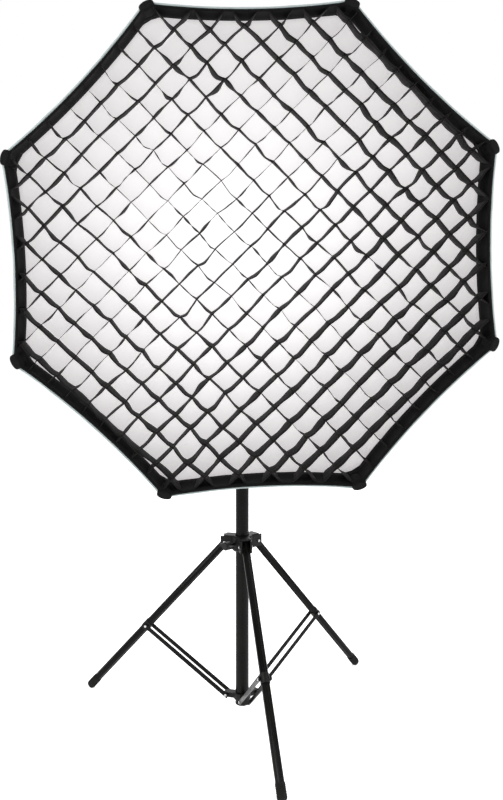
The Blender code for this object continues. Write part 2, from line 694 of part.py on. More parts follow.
def softbox_skin(axis):
    """The eight-sided fabric bell, lofted forwards from the speed ring to the rim."""
    shape = bmesh.new()
    upright = Matrix.Rotation(math.pi / 2, 4, "X")
    bmesh.ops.create_circle(shape, segments=16, radius=1, matrix=upright)
    ring = shape.verts[:]
    edges = shape.edges[:]
    for depth in skin_depths():
        if depth > 0:
            made = bmesh.ops.extrude_edge_only(shape, edges=edges)["geom"]
            ring = [item for item in made if isinstance(item, bmesh.types.BMVert)]
            edges = [item for item in made if isinstance(item, bmesh.types.BMEdge)]
        for vert in ring:
            step = round(math.degrees(math.atan2(vert.co.z, vert.co.x)) / 22.5)
            across, up = octagon_point(step, skin_radius(depth), side_bow(depth))
            vert.co = (across, -depth, up)
    shape.normal_update()
    face = shape.faces[:][0]
    outward = face.calc_center_median() * Vector((1, 0, 1))
    if face.normal.dot(outward) < 0:
        bmesh.ops.reverse_faces(shape, faces=shape.faces)
    node = solid("softbox_skin", "black_nylon", shape, axis)
    wall = node.modifiers.new("Cloth", "SOLIDIFY")
    wall.thickness = SKIN_THICKNESS
    wall.offset = -1
    wall.use_even_offset = True


def fabric_panel(name, finish, axis, depth, inset, thickness):
    outline = octagon(rod_radius(depth) - inset, side_bow(depth))
    plate(name, finish, [outline], thickness, axis, (0, -depth, 0), (math.pi / 2, 0, 0))


def grid(axis):
    """The lattice of crossed fabric strips, set diagonally, inside one border strip."""
    radius = rod_radius(GRID_BACK) - 0.006
    height = GRID_FRONT - GRID_BACK
    block = bmesh.new()
    add_prism(block, octagon(radius, side_bow(GRID_BACK)), height)
    middle = (0, -(GRID_BACK + GRID_FRONT) / 2, 0)
    lattice = solid("front_grid", "grid_webbing", block, axis, middle, (math.pi / 2, 0, 0))
    cells = bmesh.new()
    diagonal = Matrix.Rotation(math.radians(45), 4, "Z")
    opening = GRID_CELL - GRID_STRIP
    for row in range(-6, 6):
        for place in range(-6, 6):
            spot = diagonal @ Vector(((row + 0.5) * GRID_CELL, (place + 0.5) * GRID_CELL, 0))
            if spot.length < radius:
                add_box(cells, (opening, opening, height * 2), spot, diagonal)
    combine(lattice, "DIFFERENCE", cells)
    trim_cells(lattice.modifiers[-1].object, radius - 0.006, height * 1.5)


def trim_cells(cells, radius, height):
    """Keeps the openings inside the border strip."""
    inside = bmesh.new()
    add_prism(inside, octagon(radius, side_bow(GRID_BACK)), height)
    combine(cells, "INTERSECT", inside)


def add_prism(shape, outline, height):
    base = [shape.verts.new((x, y, -height / 2)) for x, y in outline]
    face = shape.faces.new(base)
    face.normal_update()
    raised = bmesh.ops.extrude_face_region(shape, geom=[face])["geom"]
    lifted = [item for item in raised if isinstance(item, bmesh.types.BMVert)]
    bmesh.ops.translate(shape, verts=lifted, vec=(0, 0, height))
    bmesh.ops.recalc_face_normals(shape, faces=shape.faces)


# ---- assembly ----


def centre_on_floor(root):
    """Moves the whole object so that its outline's middle is over the origin, with its feet at z = 0."""
    bpy.context.view_layer.update()
    graph = bpy.context.evaluated_depsgraph_get()
    points = []
    for node in PARTS.objects:
        if node.type == "EMPTY":
            continue
        shown = node.evaluated_get(graph)
        points += [shown.matrix_world @ vertex.co for vertex in shown.to_mesh().vertices]
        shown.to_mesh_clear()
    low = [min(point[i] for point in points) for i in range(3)]
    high = [max(point[i] for point in points) for i in range(3)]
    root.location = (-(low[0] + high[0]) / 2, -(low[1] + high[1]) / 2, -low[2])


def build():
    root = pivot("softbox_on_stand", None)
    column(root)
    lower_hub(root)
    slider = pivot("spread_slider", root, (0, 0, LEG_PIVOT_Z))
    spread_hub(slider)
    spread_lock(slider)
    for side in LEG_AZIMUTHS:
        leg(side, slider)
        brace(side, root)
    upper = risers(root)
    turntable = swivel(upper)
    tilt_handle(turntable)
    tilt = pivot("head_tilt", turntable, (0, 0, 0), (TILT, 0, 0))
    tilt_yoke(tilt)
    head = pivot("optical_axis", tilt, (0, 0, HEAD_AXIS_RISE))
    head_shell(head)
    controls(head)
    head_insides(head)
    mount_release(head)
    axis = pivot("speed_ring_axis", head, (0, -RING_FRONT, 0), (0, -ROLL, 0))
    speed_ring(axis)
    rods(axis)
    softbox_skin(axis)
    fabric_panel("inner_baffle", "white_nylon", axis, BAFFLE_DEPTH, 0.030, 0.002)
    fabric_panel("front_diffuser", "white_nylon", axis, DIFFUSER_DEPTH, 0.006, 0.002)
    grid(axis)
    centre_on_floor(root)


build()
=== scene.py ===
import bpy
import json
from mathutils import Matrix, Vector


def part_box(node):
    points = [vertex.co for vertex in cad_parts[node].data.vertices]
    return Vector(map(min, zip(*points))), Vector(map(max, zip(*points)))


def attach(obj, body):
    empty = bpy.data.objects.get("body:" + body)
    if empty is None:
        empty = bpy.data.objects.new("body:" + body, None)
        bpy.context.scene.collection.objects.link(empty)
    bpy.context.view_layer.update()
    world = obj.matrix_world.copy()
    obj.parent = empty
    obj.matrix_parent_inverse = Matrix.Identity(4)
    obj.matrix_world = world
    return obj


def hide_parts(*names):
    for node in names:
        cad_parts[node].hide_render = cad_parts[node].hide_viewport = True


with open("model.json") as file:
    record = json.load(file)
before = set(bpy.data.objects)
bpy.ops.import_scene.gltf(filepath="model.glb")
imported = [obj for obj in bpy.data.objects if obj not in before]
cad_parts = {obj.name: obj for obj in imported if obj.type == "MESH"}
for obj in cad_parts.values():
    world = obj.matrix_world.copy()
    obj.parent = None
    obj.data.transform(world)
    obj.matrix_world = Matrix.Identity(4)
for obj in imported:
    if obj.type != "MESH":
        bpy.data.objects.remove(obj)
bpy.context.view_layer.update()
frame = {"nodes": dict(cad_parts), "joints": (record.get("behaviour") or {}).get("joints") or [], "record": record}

import json
import math
import random

import bmesh
import bpy
from mathutils import Matrix, Vector, noise

joints = {joint["name"]: joint for joint in frame["joints"]}
nodes = frame["nodes"]
up = Vector((0, 0, 1))


# camera, lights and floor

stageSettings = {
    "cameraFromColumn": (-0.157, -2.614, 1.195),
    "cameraYaw": -4.03,
    "lens": 40.39,
    "shiftY": -0.125,
    "worldStrength": 0.55,
    "floorSize": 60.0,
    "floorGlow": 0.55,
}


def columnAxis():
    place = joints["head_swivel"]["pos_m"]
    return Vector((place[0], place[1], 0))


def buildCamera():
    data = bpy.data.cameras.new("camera")
    data.lens = stageSettings["lens"]
    data.sensor_width = 36
    data.shift_y = stageSettings["shiftY"]
    camera = bpy.data.objects.new("camera", data)
    bpy.context.scene.collection.objects.link(camera)
    camera.location = columnAxis() + Vector(stageSettings["cameraFromColumn"])
    camera.rotation_euler = (math.radians(90), 0, math.radians(stageSettings["cameraYaw"]))
    bpy.context.scene.camera = camera


def buildLights():
    world = bpy.data.worlds.new("studio")
    world.use_nodes = True
    tree = world.node_tree
    background = tree.nodes["Background"]
    background.inputs["Color"].default_value = (1.0, 1.0, 1.0, 1.0)
    background.inputs["Strength"].default_value = stageSettings["worldStrength"]
    backdrop = tree.nodes.new("ShaderNodeBackground")
    backdrop.inputs["Color"].default_value = (1.0, 1.0, 1.0, 1.0)
    backdrop.inputs["Strength"].default_value = 1.0
    paths = tree.nodes.new("ShaderNodeLightPath")
    pick = tree.nodes.new("ShaderNodeMixShader")
    tree.links.new(paths.outputs["Is Camera Ray"], pick.inputs[0])
    tree.links.new(background.outputs[0], pick.inputs[1])
    tree.links.new(backdrop.outputs[0], pick.inputs[2])
    tree.links.new(pick.outputs[0], tree.nodes["World Output"].inputs["Surface"])
    bpy.context.scene.world = world
    bpy.context.scene.view_settings.view_transform = "Standard"
    softLights = {
        "keyLight": {"at": (-2.8, -2.6, 3.0), "size": 2.0, "power": 120},
        "fillLight": {"at": (3.0, -2.0, 2.2), "size": 1.8, "power": 70},
        "backLight": {"at": (0.6, 3.2, 3.2), "size": 2.2, "power": 90},
    }
    for name, light in softLights.items():
        data = bpy.data.lights.new(name, "AREA")
        data.size = light["size"]
        data.energy = light["power"]
        lamp = bpy.data.objects.new(name, data)
        lamp.location = light["at"]
        aim = Vector((0, 0, 0.9))
        lamp.rotation_euler = (aim - lamp.location).to_track_quat("-Z", "Y").to_euler()
        lamp.visible_camera = False
        bpy.context.scene.collection.objects.link(lamp)


def buildFloor():
    bpy.ops.mesh.primitive_plane_add(size=stageSettings["floorSize"], location=(0, 0, -0.0005))
    floor = bpy.context.object
    floor.name = "studioFloor"
    material = bpy.data.materials.new("floorPaint")
    material.use_nodes = True
    shader = material.node_tree.nodes["Principled BSDF"]
    shader.inputs["Base Color"].default_value = (0.93, 0.93, 0.93, 1)
    shader.inputs["Roughness"].default_value = 0.8
    shader.inputs["Emission Color"].default_value = (1, 1, 1, 1)
    shader.inputs["Emission Strength"].default_value = stageSettings["floorGlow"]
    floor.data.materials.append(material)


# shader groups

def makeGroup(name, inputs, outputs):
    group = bpy.data.node_groups.new(name, "ShaderNodeTree")
    for label, value in inputs.items():
        socket = group.interface.new_socket(label, in_out="INPUT", socket_type="NodeSocketFloat")
        socket.default_value = value
    for label in outputs:
        group.interface.new_socket(label, in_out="OUTPUT", socket_type="NodeSocketFloat")
    start = group.nodes.new("NodeGroupInput")
    end = group.nodes.new("NodeGroupOutput")
    return group, start, end


def mathNode(tree, operation, first, second=None):
    node = tree.nodes.new("ShaderNodeMath")
    node.operation = operation
    for index, value in enumerate((first, second)):
        if value is None:
            continue
        if isinstance(value, (int, float)):
            node.inputs[index].default_value = value
        else:
            tree.links.new(value, node.inputs[index])
    return node.outputs[0]


def noiseNode(tree, vector, scale, detail=3.0):
    node = tree.nodes.new("ShaderNodeTexNoise")
    node.inputs["Detail"].default_value = detail
    tree.links.new(vector, node.inputs["Vector"])
    if isinstance(scale, (int, float)):
        node.inputs["Scale"].default_value = scale
    else:
        tree.links.new(scale, node.inputs["Scale"])
    return node.outputs["Fac"]


def clothThreads():
    group, start, end = makeGroup("clothThreads", {"Thread": 900.0, "Creases": 0.5}, ["Height", "Tone"])
    uv = group.nodes.new("ShaderNodeUVMap")
    split = group.nodes.new("ShaderNodeSeparateXYZ")
    group.links.new(uv.outputs["UV"], split.inputs[0])
    across = mathNode(group, "SINE", mathNode(group, "MULTIPLY", split.outputs[0], start.outputs["Thread"]))
    along = mathNode(group, "SINE", mathNode(group, "MULTIPLY", split.outputs[1], start.outputs["Thread"]))
    threads = mathNode(group, "MULTIPLY", mathNode(group, "MULTIPLY", across, along), 0.25)
    coords = group.nodes.new("ShaderNodeTexCoord")
    creases = noiseNode(group, coords.outputs["Object"], 9.0, 5.0)
    soft = mathNode(group, "MULTIPLY", creases, start.outputs["Creases"])
    height = mathNode(group, "ADD", threads, mathNode(group, "MULTIPLY", soft, 6.0))
    group.links.new(height, end.inputs["Height"])
    patches = noiseNode(group, coords.outputs["Object"], 34.0, 4.0)
    dye = mathNode(group, "MULTIPLY", patches, 0.6)
    tone = mathNode(group, "ADD", dye, mathNode(group, "MULTIPLY", threads, 0.8))
    group.links.new(tone, end.inputs["Tone"])
    return group


def surfaceGrain():
    sizes = {"Grain": 900.0, "Smudge": 14.0}
    group, start, end = makeGroup("surfaceGrain", sizes, ["Height", "Smudges", "Specks"])
    coords = group.nodes.new("ShaderNodeTexCoord")
    place = coords.outputs["Object"]
    group.links.new(noiseNode(group, place, start.outputs["Grain"], 2.0), end.inputs["Height"])
    group.links.new(noiseNode(group, place, start.outputs["Smudge"], 5.0), end.inputs["Smudges"])
    cells = group.nodes.new("ShaderNodeTexVoronoi")
    cells.inputs["Scale"].default_value = 160.0
    group.links.new(coords.outputs["Object"], cells.inputs["Vector"])
    specks = mathNode(group, "LESS_THAN", cells.outputs["Distance"], 0.09)
    group.links.new(specks, end.inputs["Specks"])
    return group


groups = {}
materials = {}


def rampBetween(tree, factor, low, high, fromLow=0.35, fromHigh=0.65):
    ramp = tree.nodes.new("ShaderNodeValToRGB")
    ramp.color_ramp.elements[0].position = fromLow
    ramp.color_ramp.elements[1].position = fromHigh
    ramp.color_ramp.elements[0].color = (*low, 1)
    ramp.color_ramp.elements[1].color = (*high, 1)
    tree.links.new(factor, ramp.inputs["Fac"])
    return ramp.outputs["Color"]


def greyBetween(tree, factor, low, high):
    return rampBetween(tree, factor, (low,) * 3, (high,) * 3)


def newMaterial(name):
    material = bpy.data.materials.new(name)
    material.use_nodes = True
    materials[name] = material
    return material.node_tree, material.node_tree.nodes["Principled BSDF"]


def placeGroup(tree, group, values):
    node = tree.nodes.new("ShaderNodeGroup")
    node.node_tree = group
    for label, value in values.items():
        node.inputs[label].default_value = value
    return node


def bump(tree, shader, height, strength, distance):
    node = tree.nodes.new("ShaderNodeBump")
    node.inputs["Strength"].default_value = strength
    node.inputs["Distance"].default_value = distance
    tree.links.new(height, node.inputs["Height"])
    tree.links.new(node.outputs["Normal"], shader.inputs["Normal"])


# paint, cast metal, rubber and moulded plastic: grain, smudges and a few dust specks
def hardFinish(name, dark, light, rough, grain, metal=0.0, bumpStrength=0.25, specks=True, gloss=0.5):
    tree, shader = newMaterial(name)
    surface = placeGroup(tree, groups["grain"], {"Grain": grain})
    colour = rampBetween(tree, surface.outputs["Smudges"], dark, light)
    if specks:
        mix = tree.nodes.new("ShaderNodeMix")
        mix.data_type = "RGBA"
        mix.inputs[7].default_value = tuple(min(1, 3.5 * c + 0.02) for c in light) + (1,)
        tree.links.new(surface.outputs["Specks"], mix.inputs[0])
        tree.links.new(colour, mix.inputs[6])
        colour = mix.outputs[2]
    tree.links.new(colour, shader.inputs["Base Color"])
    wear = greyBetween(tree, surface.outputs["Smudges"], *rough)
    tree.links.new(wear, shader.inputs["Roughness"])
    shader.inputs["Metallic"].default_value = metal
    shader.inputs["Specular IOR Level"].default_value = gloss
    bump(tree, shader, surface.outputs["Height"], bumpStrength, 0.0004)
    return tree, shader


# woven cloth: threads on the UV map, soft creases and a slightly uneven dye
def clothFinish(name, dark, light, rough, thread, creases=0.5, sheen=0.0, strength=0.5, gloss=0.2):
    tree, shader = newMaterial(name)
    cloth = placeGroup(tree, groups["threads"], {"Thread": thread, "Creases": creases})
    colour = rampBetween(tree, cloth.outputs["Tone"], dark, light, 0.1, 0.55)
    tree.links.new(colour, shader.inputs["Base Color"])
    shader.inputs["Roughness"].default_value = rough
    shader.inputs["Sheen Weight"].default_value = sheen
    shader.inputs["Sheen Roughness"].default_value = 0.4
    shader.inputs["Specular IOR Level"].default_value = gloss
    bump(tree, shader, cloth.outputs["Height"], strength, 0.0006)
    return tree, shader


# white nylon with the lamp behind it, its light painted in as emission: brightest in the middle, greyer towards
# the rim
def paintedGlowCloth(name, settings):
    tree, shader = clothFinish(name, (0.74, 0.73, 0.73), (0.86, 0.85, 0.85), 0.7, 1500.0, 0.3, 0.1, 0.25)
    coords = tree.nodes.new("ShaderNodeTexCoord")
    mapping = tree.nodes.new("ShaderNodeMapping")
    mapping.inputs["Location"].default_value = tuple(-c for c in settings["centre"])
    tree.links.new(coords.outputs["Object"], mapping.inputs["Vector"])
    length = tree.nodes.new("ShaderNodeVectorMath")
    length.operation = "LENGTH"
    tree.links.new(mapping.outputs["Vector"], length.inputs[0])
    fall = tree.nodes.new("ShaderNodeMapRange")
    fall.inputs["From Max"].default_value = settings["reach"]
    tree.links.new(length.outputs["Value"], fall.inputs["Value"])
    # noise patches that make the painted glow uneven
    patches = noiseNode(tree, coords.outputs["Object"], 5.0, 3.0)
    uneven = mathNode(tree, "MULTIPLY_ADD", patches, 0.12)
    uneven.node.inputs[2].default_value = -0.06
    spread = mathNode(tree, "ADD", fall.outputs["Result"], uneven)
    # painted glow colours, from the bright middle to the greyer painted shade at the rim, fed into the emission
    glow = tree.nodes.new("ShaderNodeValToRGB")
    glow.color_ramp.elements[0].color = (*settings["middle"], 1)
    glow.color_ramp.elements[1].color = (*settings["edge"], 1)
    glow.color_ramp.elements[0].position = 0.08
    tree.links.new(spread, glow.inputs["Fac"])
    tree.links.new(glow.outputs["Color"], shader.inputs["Emission Color"])
    shader.inputs["Emission Strength"].default_value = settings["strength"]


# dark and light colour, range of roughness, size of grain
hardFinishes = {
    "satinEnamel": ((0.0022, 0.0022, 0.0020), (0.0042, 0.0042, 0.0038), (0.24, 0.34), 1400.0),
    "castEnamel": ((0.0035, 0.0035, 0.0033), (0.0075, 0.0075, 0.0070), (0.36, 0.52), 700.0),
    "mouldedNylon": ((0.004, 0.004, 0.0045), (0.008, 0.008, 0.009), (0.45, 0.6), 1000.0),
    "footRubber": ((0.004, 0.004, 0.004), (0.009, 0.0085, 0.008), (0.75, 0.92), 500.0),
    "headPaint": ((0.035, 0.036, 0.039), (0.052, 0.053, 0.057), (0.42, 0.58), 1100.0),
    "turnedSteel": ((0.48, 0.48, 0.49), (0.66, 0.66, 0.67), (0.2, 0.38), 600.0),
    "rivetSteel": ((0.40, 0.40, 0.41), (0.60, 0.60, 0.61), (0.25, 0.45), 900.0),
    "redButton": ((0.32, 0.010, 0.008), (0.46, 0.020, 0.014), (0.3, 0.45), 900.0),
    "boardMask": ((0.012, 0.08, 0.035), (0.03, 0.14, 0.06), (0.4, 0.6), 300.0),
    "fibreRod": ((0.015, 0.015, 0.016), (0.035, 0.035, 0.037), (0.25, 0.4), 800.0),
    "reflectorPlate": ((0.62, 0.61, 0.60), (0.76, 0.75, 0.74), (0.35, 0.55), 600.0),
    "frostedLamp": ((0.80, 0.77, 0.68), (0.93, 0.90, 0.82), (0.25, 0.45), 500.0),
    "domeGlass": ((0.85, 0.88, 0.88), (0.96, 0.97, 0.97), (0.08, 0.22), 400.0),
    "stitchThread": ((0.02, 0.02, 0.02), (0.04, 0.04, 0.04), (0.6, 0.8), 900.0),
}

# where a finish differs from hardFinish's own values
finishExtras = {
    "satinEnamel": {"bumpStrength": 0.12, "gloss": 0.09},
    "castEnamel": {"bumpStrength": 0.6, "gloss": 0.16},
    "mouldedNylon": {"bumpStrength": 0.5, "gloss": 0.2},
    "footRubber": {"bumpStrength": 0.5, "gloss": 0.2},
    "headPaint": {"bumpStrength": 0.7},
    "turnedSteel": {"metal": 1.0, "bumpStrength": 0.15, "specks": False},
    "rivetSteel": {"metal": 1.0, "bumpStrength": 0.2, "specks": False},
    "redButton": {"bumpStrength": 0.1},
    "boardMask": {"bumpStrength": 0.3},
    "fibreRod": {"bumpStrength": 0.2},
    "reflectorPlate": {"bumpStrength": 0.1},
    "frostedLamp": {"bumpStrength": 0.1},
    "domeGlass": {"bumpStrength": 0.1, "specks": False},
    "stitchThread": {"bumpStrength": 0.2, "specks": False},
}

# dark and light colour, roughness, threads, creases, sheen, bump strength, gloss
clothFinishes = {
    "blackNylon": ((0.0035, 0.0035, 0.0042), (0.0090, 0.0090, 0.0100), 0.46, 1300.0, 2.2, 0.08, 0.8, 0.26),
    "webbing": ((0.0040, 0.0034, 0.0032), (0.0105, 0.0090, 0.0086), 0.7, 1100.0, 0.5, 0.06, 0.5, 0.12),
    "hemTape": ((0.0018, 0.0018, 0.0018), (0.0048, 0.0048, 0.0048), 0.7, 800.0, 0.4, 0.02, 0.6, 0.10),
    "palePiping": ((0.25, 0.29, 0.29), (0.38, 0.43, 0.43), 0.45, 1600.0, 0.2, 0.05, 0.3),
    "silverLining": ((0.55, 0.56, 0.57), (0.80, 0.81, 0.82), 0.35, 1200.0, 1.0, 0.0, 0.6),
}


def shaderOf(name):
    return materials[name].node_tree.nodes["Principled BSDF"]


def buildMaterials():
    groups["threads"] = clothThreads()
    groups["grain"] = surfaceGrain()
    for name, values in hardFinishes.items():
        hardFinish(name, *values, **finishExtras[name])
    for name, values in clothFinishes.items():
        clothFinish(name, *values)
    shaderOf("domeGlass").inputs["Transmission Weight"].default_value = 0.9
    shaderOf("domeGlass").inputs["IOR"].default_value = 1.46
    shaderOf("silverLining").inputs["Metallic"].default_value = 0.85


# shared mesh helpers

def link(name, mesh, materialNames):
    piece = bpy.data.objects.new(name, mesh)
    bpy.context.scene.collection.objects.link(piece)
    for materialName in materialNames:
        piece.data.materials.append(materials[materialName])
    return piece


def fromShape(name, shape, materialNames, smooth=40):
    bmesh.ops.remove_doubles(shape, verts=shape.verts, dist=1e-6)
    bmesh.ops.recalc_face_normals(shape, faces=shape.faces)
    mesh = bpy.data.meshes.new(name)
    shape.to_mesh(mesh)
    shape.free()
    piece = link(name, mesh, materialNames)
    if smooth:
        mesh.shade_smooth()
        mesh.set_sharp_from_angle(angle=math.radians(smooth))
    return piece


# a matrix whose Z runs along zAxis, for shapes that are drawn upright
def frameOf(origin, zAxis, xHint=None):
    z = Vector(zAxis).normalized()
    hint = Vector(xHint) if xHint else (Vector((1, 0, 0)) if abs(z.x) < 0.9 else Vector((0, 1, 0)))
    y = z.cross(hint).normalized()
    x = y.cross(z)
    matrix = Matrix((x, y, z)).transposed().to_4x4()
    matrix.translation = Vector(origin)
    return matrix


# turns radius and height pairs about the matrix's Z axis
def lathe(shape, profile, matrix, steps=48, closed=False):
    rings = []
    for radius, height in profile:
        if radius < 1e-7:
            rings.append([shape.verts.new(matrix @ Vector((0, 0, height)))])
            continue
        ring = []
        for step in range(steps):
            angle = math.tau * step / steps
            spot = Vector((radius * math.cos(angle), radius * math.sin(angle), height))
            ring.append(shape.verts.new(matrix @ spot))
        rings.append(ring)
    pairs = list(zip(rings, rings[1:]))
    if closed:
        pairs.append((rings[-1], rings[0]))
    for first, second in pairs:
        for step in range(steps):
            after = (step + 1) % steps
            corners = [first[step % len(first)], first[after % len(first)]]
            corners += [second[after % len(second)], second[step % len(second)]]
            unique = list(dict.fromkeys(corners))
            if len(unique) > 2:
                shape.faces.new(unique)


# cuts each corner of a profile into three short edges
def roundedProfile(points, size=0.0008, closed=False):
    result = []
    count = len(points)
    for index, point in enumerate(points):
        here = Vector(point)
        atEnd = index in (0, count - 1) and not closed
        if atEnd:
            result.append(tuple(here))
            continue
        before = Vector(points[index - 1])
        after = Vector(points[(index + 1) % count])
        reach = min(size, (before - here).length * 0.45, (after - here).length * 0.45)
        start = here + (before - here).normalized() * reach
        end = here + (after - here).normalized() * reach
        for share in (0, 0.33, 0.67, 1):
            along = start.lerp(here, share).lerp(here.lerp(end, share), share)
            result.append(tuple(along))
    return result


def bevelledBox(shape, size, matrix, bevel=0.001, segments=2):
    made = bmesh.ops.create_cube(shape, size=1, matrix=matrix @ Matrix.Diagonal((*size, 1)))
    edges = list({edge for vert in made["verts"] for edge in vert.link_edges})
    if bevel:
        bmesh.ops.bevel(shape, geom=edges, offset=bevel, segments=segments, affect="EDGES", profile=0.5)


print("scene helpers ready")


# softbox form

softbox = {
    "roll": 1.9,
    "depth": 0.450,
    "rodStart": 0.070,
    "rodTip": 0.602,
    "startSlope": 2.35,
    "cover": 0.006,
    "sleeveRoom": 0.004,
    "sideBow": 0.015,
    "diffuserDepth": 0.388,
    "baffleDepth": 0.200,
    "gridBack": 0.392,
    "gridFront": 0.448,
    "goreWidth": 0.46,
    "goreStretch": 1.5,
    "skinFlat": (1.66, 1.0),
    "lipFlat": (3.68, 0.092),
}


# origin on the speed ring's front, X to the right, Y back along the optical axis, Z up
def softboxFrame():
    ring = joints["softbox_turn"]
    forward = Vector(ring["axis"]).normalized()
    back = -forward
    side = Vector((1, 0, 0))
    top = side.cross(back).normalized()
    turn = Matrix.Rotation(math.radians(-softbox["roll"]), 4, back)
    matrix = Matrix((turn @ side, back, turn @ top)).transposed().to_4x4()
    matrix.translation = Vector(ring["pos_m"])
    return matrix


def rodRadius(depth):
    share = depth / softbox["depth"]
    rise = softbox["rodTip"] - softbox["rodStart"]
    linear = softbox["startSlope"] * softbox["depth"]
    return softbox["rodStart"] + linear * share + (rise - linear) * share * share


def rodSlope(depth):
    rise = softbox["rodTip"] - softbox["rodStart"]
    linear = softbox["startSlope"] * softbox["depth"]
    return (linear + 2 * (rise - linear) * depth / softbox["depth"]) / softbox["depth"]


def coverAt(depth):
    room = softbox["sleeveRoom"] * max(1 - depth / 0.06, 0)
    return softbox["cover"] * math.hypot(1, rodSlope(depth)) + room


def bowAt(depth):
    return softbox["sideBow"] * max(depth, 0) / softbox["depth"]


# a point on one of the eight sides, share 0 to 1 from corner to corner, pulled in by bow
def sidePoint(side, share, radius, bow):
    first = math.radians(45 * side - 22.5)
    second = math.radians(45 * side + 22.5)
    start = Vector((math.cos(first), math.sin(first))) * radius
    end = Vector((math.cos(second), math.sin(second))) * radius
    middle = math.radians(45 * side)
    inward = Vector((math.cos(middle), math.sin(middle))) * -bow
    return start.lerp(end, share) + inward * (4 * share * (1 - share))


# how far the octagon with pulled-in sides reaches in a direction, with its corners cut off inside the rods
def lipLimit(angle, radius, bow, cut=None):
    side = round(math.degrees(angle) / 45)
    away = angle - math.radians(45 * side)
    flat = radius * math.cos(math.radians(22.5))
    half = radius * math.sin(math.radians(22.5))
    sideways = min(abs(flat * math.tan(away)) / half, 1.0)
    reach = (flat - bow * (1 - sideways * sideways)) / math.cos(away)
    return reach if cut is None else min(reach, cut)


def addUv(face, uvLayer, values):
    for loop, value in zip(face.loops, values):
        loop[uvLayer].uv = value


# puckers beside the seams, and pulls that fan out from the rim's corners
def skinWrinkle(side, share, depth):
    edge = 4 * share * (1 - share)
    fromSeam = min(share, 1 - share)
    drift = 2 * noise.noise(Vector((side, depth * 9, 1)))
    puckers = 0.0015 * math.exp(-fromSeam * 16) * math.sin(depth * 260 + side * 1.7 + drift)
    slant = noise.noise(Vector((side * 2.7, share * 3 - depth * 4, 8.0)))
    pulls = 0.0030 * edge * slant * math.sin(7 * math.pi * share + depth * 24 + side * 1.3 + 2.4 * slant)
    broad = 0.0085 * edge * noise.noise(Vector((side * 3.1 + share * 2.2, depth * 6.0, 4.0)))
    folds = 0.0035 * edge * noise.noise(Vector((side * 5.3 + share * 9, depth * 5.0, 6.0)))
    nearRing = min(1, depth / 0.08)
    nearRim = max(0.12, 1 - max(0, depth - 0.28) / 0.11)
    return puckers + (pulls + broad + folds) * nearRing * nearRim


def skinDepths():
    depths = [-0.0105, -0.0095, -0.007, -0.004]
    count = 56
    depths += [softbox["depth"] * (step / count) ** 1.2 for step in range(count + 1)]
    return depths


def skinPoint(side, share, depth):
    if depth < 0:  # the gathered cuff that grips the speed ring
        squeeze = min(1, -depth / 0.009)
        gathers = 0.0009 * math.sin(math.tau * (side + share) * 5)
        radius = (rodRadius(0) + coverAt(0)) * (1 - squeeze) + 0.0808 * squeeze
        angle = math.radians(45 * (side - 0.5 + share))
        octagon = sidePoint(side, share, radius, 0)
        circle = Vector((math.cos(angle), math.sin(angle))) * (radius + gathers)
        flat = octagon.lerp(circle, squeeze)
        return Vector((flat.x, -depth, flat.y))
    radius = rodRadius(depth) + coverAt(depth)
    flat = sidePoint(side, share, radius, bowAt(depth) + 0.003 * math.sin(math.pi * depth / softbox["depth"]))
    flat += flat.normalized() * skinWrinkle(side, share, depth)
    return Vector((flat.x, -depth, flat.y))


# closer together beside the seams
def shareSteps(count):
    return [0.5 - 0.5 * math.cos(math.pi * step / count) for step in range(count + 1)]


def buildSkin(place):
    shape = bmesh.new()
    uvLayer = shape.loops.layers.uv.new("cloth")
    depths = skinDepths()
    shares = shareSteps(20)
    wide, tall = softbox["goreWidth"], softbox["goreStretch"]
    for side in range(8):
        rows = []
        for depth in depths:
            rows.append([shape.verts.new(place @ skinPoint(side, share, depth)) for share in shares])
        for level in range(len(depths) - 1):
            for step in range(len(shares) - 1):
                corners = ((level, step), (level, step + 1), (level + 1, step + 1), (level + 1, step))
                face = shape.faces.new([rows[row][column] for row, column in corners])
                addUv(face, uvLayer, [(wide * (side + shares[column]), tall * depths[row])
                                      for row, column in corners])
    bmesh.ops.remove_doubles(shape, verts=shape.verts, dist=1e-5)
    bmesh.ops.recalc_face_normals(shape, faces=shape.faces)
    origin = place.translation
    probe = max(shape.faces, key=lambda face: (face.calc_center_median() - origin).length)
    outward = probe.calc_center_median() - (place @ Vector((0, -softbox["depth"], 0)))
    if probe.normal.dot(outward) < 0:
        bmesh.ops.reverse_faces(shape, faces=shape.faces)
    mesh = bpy.data.meshes.new("softboxSkin")
    shape.to_mesh(mesh)
    shape.free()
    piece = link("softboxSkin", mesh, ["blackNylon", "silverLining"])
    mesh.shade_smooth()
    wall = piece.modifiers.new("cloth", "SOLIDIFY")
    wall.thickness = 0.0010
    wall.offset = -1
    wall.material_offset = 1
    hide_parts("softbox_skin")
    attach(piece, "softbox")
    return piece


# a round tube along points
def sweep(shape, points, radius, steps=8, uvLayer=None, closed=False):
    rings = []
    count = len(points)
    for index, point in enumerate(points):
        before = points[index - 1] if index or closed else points[0]
        after = points[(index + 1) % count] if index < count - 1 or closed else points[-1]
        matrix = frameOf(point, after - before, (0.02, 1, 0.13))
        ring = []
        for step in range(steps):
            angle = math.tau * step / steps
            spot = Vector((radius * math.cos(angle), radius * math.sin(angle), 0))
            ring.append(shape.verts.new(matrix @ spot))
        rings.append(ring)
    pairs = list(zip(rings, rings[1:])) + ([(rings[-1], rings[0])] if closed else [])
    for first, second in pairs:
        for step in range(steps):
            after = (step + 1) % steps
            shape.faces.new((first[step], first[after], second[after], second[step]))
    if not closed:
        shape.faces.new(list(reversed(rings[0])))
        shape.faces.new(rings[-1])


piping = {
    "inset": 0.0045,
    "lift": 0.0044,
    "radius": 0.0036,
    "cornerGap": 0.035,
    "weltRadius": 0.0017,
    "weltLift": 0.0007,
}


